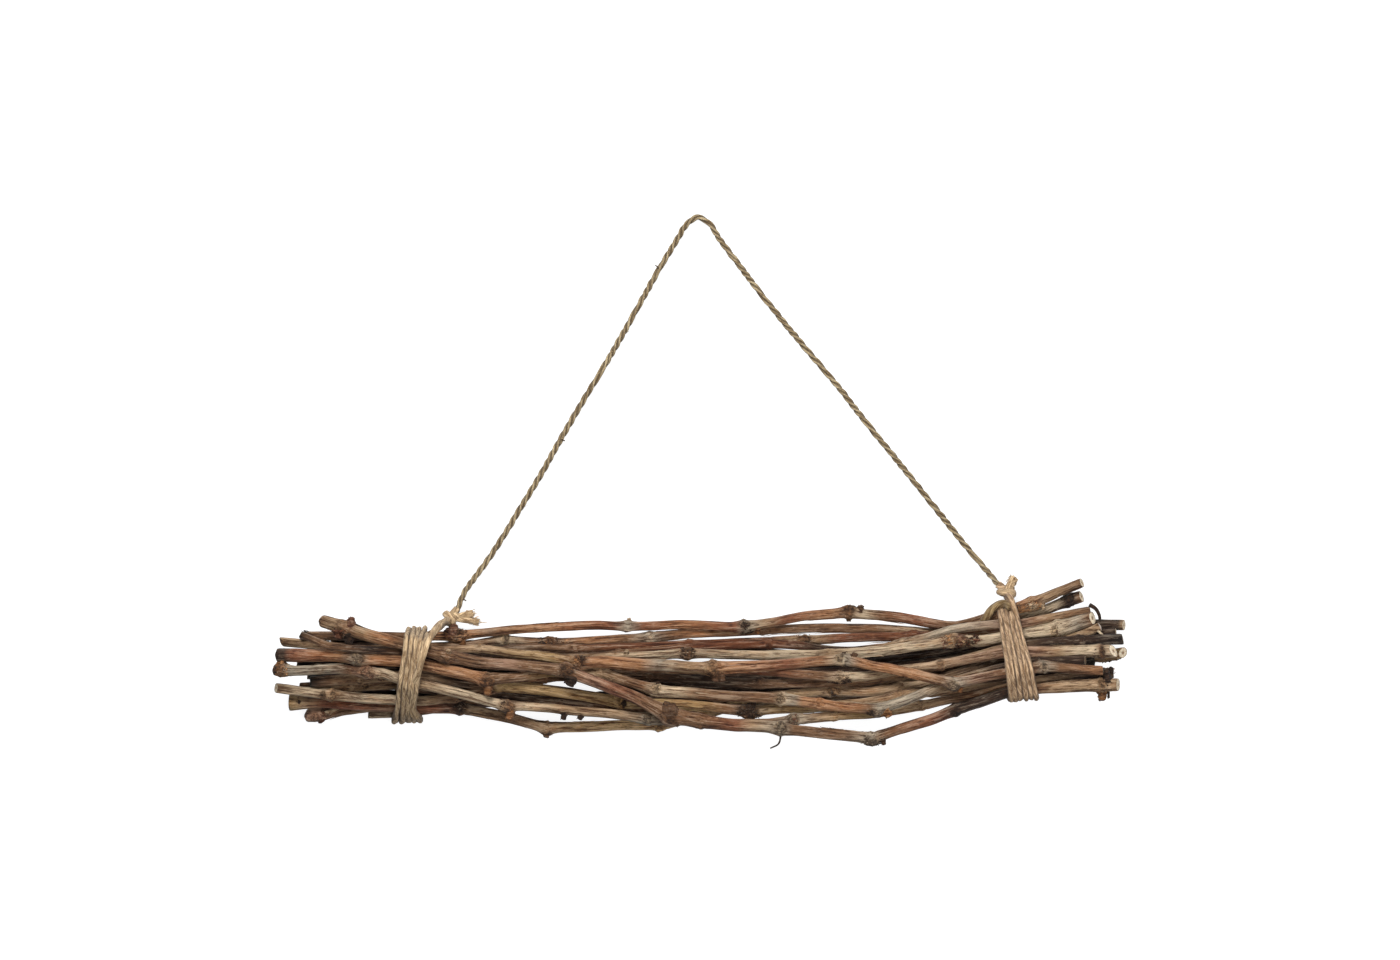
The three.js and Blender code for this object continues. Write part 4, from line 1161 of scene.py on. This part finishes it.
# How each tie is wound. Its plane crosses y = middle at x, and leans along X as y grows. Each
# pass crosses the +Y edge at one of tops, along X in mm, and the other edge at one of bottoms,
# and lifts is how far it rides up on the others. strand: thickness of a pass, and narrow: its
# share at the +Y edge. flare, slip and swell: how the passes spread, slide along X and thicken at
# the low edge. lead: the twine from the turns to the knot. leaves: where the cord leaves the knot.
# axis, coil and turns: the knot's wrap round the cord. tails: [tip, thickness]. extra: a loop more.
LEFT_TIE = dict(
    x=-202 * MM, middle=-10 * MM, lean=0.165,
    tops=[-8.2, -4.3, -0.5, 3.3, 7.2],
    bottoms=[-5.6, -2.1, 0.6, 2.9, 5.2],
    lifts=[0, 0.3, 0, 0.5, 0.7],
    strand=4.0, narrow=1, flare=0.5, slip=3, swell=0.35, tint=(1, 1, 1),
    lead=[(-188, 15, 56), (-184, 22, 47), (-180, 26.5, 31), (-178, 28, 20)], lead_thick=5.6,
    knot=(-175.5, 30.5, 15), leaves=(-170.5, 36.5, 12.5),
    axis=(0.62, 0.75, -0.2), coil=3.7, coil_thick=5.4, turns=1.5,
    tails=[((-159.5, 33, 14), 5), ((-155.5, 27.5, 13), 5)],
    extra=[(-199, -16, 55), (-196, -5, 64), (-193, 5, 67.5), (-190, 13, 65), (-186, 21, 53),
           (-181, 26.5, 33), (-177, 29, 20)],
    extra_thick=5.2, extra_tint=(1, 1, 1),
)
RIGHT_TIE = dict(
    x=221 * MM, middle=8 * MM, lean=-0.19,
    tops=[-5.6, -3.4, -1.2, 1.0, 3.2, 5.4],
    bottoms=[-11.5, -7.7, -3.9, -0.1, 3.7, 7.5],
    lifts=[0, 0.5, 0, 0.6, 0.1, 0.8],
    strand=4.2, narrow=0.7, flare=0, slip=0, swell=0, tint=(0.84, 0.79, 0.80),
    lead=[(219, 37, 33), (217, 44, 25), (215.5, 46, 18)], lead_thick=5.8,
    knot=(215.3, 48.3, 15), leaves=(209.5, 53.5, 13),
    axis=(-0.15, 1.0, 0), coil=4.2, coil_thick=6.0, turns=1.2,
    tails=[((220.5, 58.5, 14), 6.4)],
    extra=[(199, 27.5, 20), (202, 32, 22), (205, 36, 22), (209.5, 39.5, 23), (214, 40.5, 25),
           (218, 37.5, 30)],
    extra_thick=6.2, extra_tint=(0.46, 0.44, 0.36),
)


def knot_path(tie):
    """The twine's coil round itself at the knot, about the way the cord leaves it."""
    axis = unit(np.array(tie["axis"]))
    side = unit(np.cross(axis, [0, 0, 1.0]))
    front = np.cross(side, axis)
    t = np.linspace(-0.25, tie["turns"] - 0.25, 70) * TAU
    along = 0.8 * tie["coil_thick"] * (t / TAU - 0.5 * tie["turns"] + 0.25)
    round_it = tie["coil"] * (np.cos(t)[:, None] * side + 0.85 * np.sin(t)[:, None] * front)
    return (np.array(tie["knot"]) + along[:, None] * axis + round_it) * MM


def add_tie_twine(skin, path, rng, thick, tint=(1, 1, 1), flank_shade=0.0):
    add_twine(skin, path, rng, thick, TIE_TWIST, TIE_GROOVE, tint, flank_shade)


def add_tie(node, tie, lines, materials, seed):
    """The turns, the twine up to the knot, the knot and its frayed tails, as one mesh."""
    rng = np.random.default_rng(seed)
    skin = Skin()
    turns = wound(lines, tie, rng)
    lead = np.array(tie["lead"] + [tie["knot"], tie["leaves"]]) * MM
    whole = smooth_path(np.concatenate([turns[::6], lead[1:]]), 1.0 * MM)
    remaining = travelled(whole)[-1] - travelled(whole)
    y = whole[:, 1]
    strand = tie["strand"] * MM * np.interp(y, [y.min(), 34 * MM], [1, tie["narrow"]])
    strand *= 1 + tie["swell"] * low_edge(y)
    # the last stretch, up to the knot, is as thick as two passes side by side
    grown = np.interp(remaining, [22 * MM, 40 * MM], [1, 0])
    thick = grown * tie["lead_thick"] * MM + (1 - grown) * strand
    add_tie_twine(skin, whole, rng, thick, tie["tint"], TIE_FLANK_SHADE)
    add_fibres(skin, whole, rng, 14 * MM, 5 * MM)
    coil = smooth_path(knot_path(tie), 0.8 * MM)
    add_tie_twine(skin, coil, rng, tie["coil_thick"] * MM)
    add_fibres(skin, coil, rng, 5 * MM, 4 * MM)
    centre = np.array(tie["knot"]) * MM
    for tip, tail_thick in tie["tails"]:
        tip = np.array(tip) * MM
        tail = smooth_path([centre, centre * 0.45 + tip * 0.55 + (0, 0, MM), tip], 1.0 * MM)
        add_tie_twine(skin, tail, rng, tail_thick * MM)
        add_fray(skin, tail[-5], tip - centre, rng, tail_thick * 0.2 * MM)
        add_fibres(skin, tail, rng, 3 * MM, 3 * MM)
    extra = smooth_path(np.array(tie["extra"]) * MM, 1.0 * MM)
    add_tie_twine(skin, extra, rng, tie["extra_thick"] * MM, tie["extra_tint"])
    add_fibres(skin, extra, rng, 3 * MM, 4 * MM)
    add_piece(skin, node + "_twine", node, materials)


# The middle of the hanging cord, as in the CAD part: from the left knot to the surface, round one
# close bend, and up to the right knot.
CORD_ROUTE = [
    (-170.5, 36.5, 12.5), (-168.5, 42, 10), (-165.5, 48.5, 6), (-160, 56.5, 3), (-153.5, 65, 2.2),
    (-140, 85, 2.2), (-126, 108, 2.2), (-112, 131, 2.2), (-98, 156, 2.2), (-84, 180, 2.2),
    (-70, 203, 2.2), (-56.5, 226, 2.2), (-42.5, 251, 2.2), (-28.5, 276, 2.2), (-16, 296.5, 2.2),
    (-8.5, 308, 2.2), (-2, 312, 2.2), (5, 309, 2.2), (13.5, 297, 2.2), (27.5, 278.5, 2.2),
    (41.5, 260, 2.2), (55.5, 242.5, 2.2), (69.5, 225.5, 2.2), (83.5, 209, 2.2), (97.5, 192.5, 2.2),
    (111.5, 174.5, 2.2), (125.5, 157, 2.2), (139.5, 140, 2.2), (153.5, 122.5, 2.2),
    (167.5, 105, 2.2), (181.5, 87.5, 2.2), (193, 73.5, 3), (201, 64, 6), (206, 58, 10),
    (209.5, 53.5, 13),
]

CORD_THICK = 1.12 * TWINE   # over its strands, and about 4 mm with the grooves between them
CORD_TINT = (0.63, 0.68, 0.67)
CORD_SEED = 7
BURR_TINT = (0.4, 0.36, 0.3)
CORD_BURRS = [
    [(-167, 43.6, 10), (-165.4, 42.6, 10.4), (-164.4, 42, 10)],
    [(-97.3, 155.6, 3.6), (-96, 154.8, 4), (-95, 154.6, 3.6)],
    [(-29, 276, 3.8), (-30.6, 277.6, 4), (-31.6, 278.2, 3.6)],
]


def add_cord(materials):
    rng = np.random.default_rng(CORD_SEED)
    path = smooth_path(np.array(CORD_ROUTE) * MM, 1.0 * MM)
    skin = Skin()
    add_twine(skin, path, rng, CORD_THICK, tint=CORD_TINT)
    add_fibres(skin, path, rng, 9 * MM, 4.5 * MM)
    for burr in CORD_BURRS:
        hair = smooth_path(np.array(burr) * MM, 0.5 * MM)
        radii = 0.55 * MM * np.linspace(1.2, 0.6, len(hair))
        add_rod(skin, hair, radii, sides=5, tint=BURR_TINT, crust=1)
    piece = add_piece(skin, "hanging_cord_twine", "hanging_cord", materials)


# ------------------------------------------------------------------ everything

bpy.context.scene.view_settings.view_transform = "Standard"
add_camera()
jute = [jute_material()]
add_cord(jute)
add_world()
add_floor()
for light in LIGHTS:
    add_area_light(*light)
cane_skin = [bark_material(), cut_wood_material()]
cane_lines = [add_cane(node, cane_skin) for node in sorted(LOOKS)]
add_tie("left_tie", LEFT_TIE, cane_lines, jute, seed=31)
add_tie("right_tie", RIGHT_TIE, cane_lines, jute, seed=32)

bpy.context.view_layer.update()
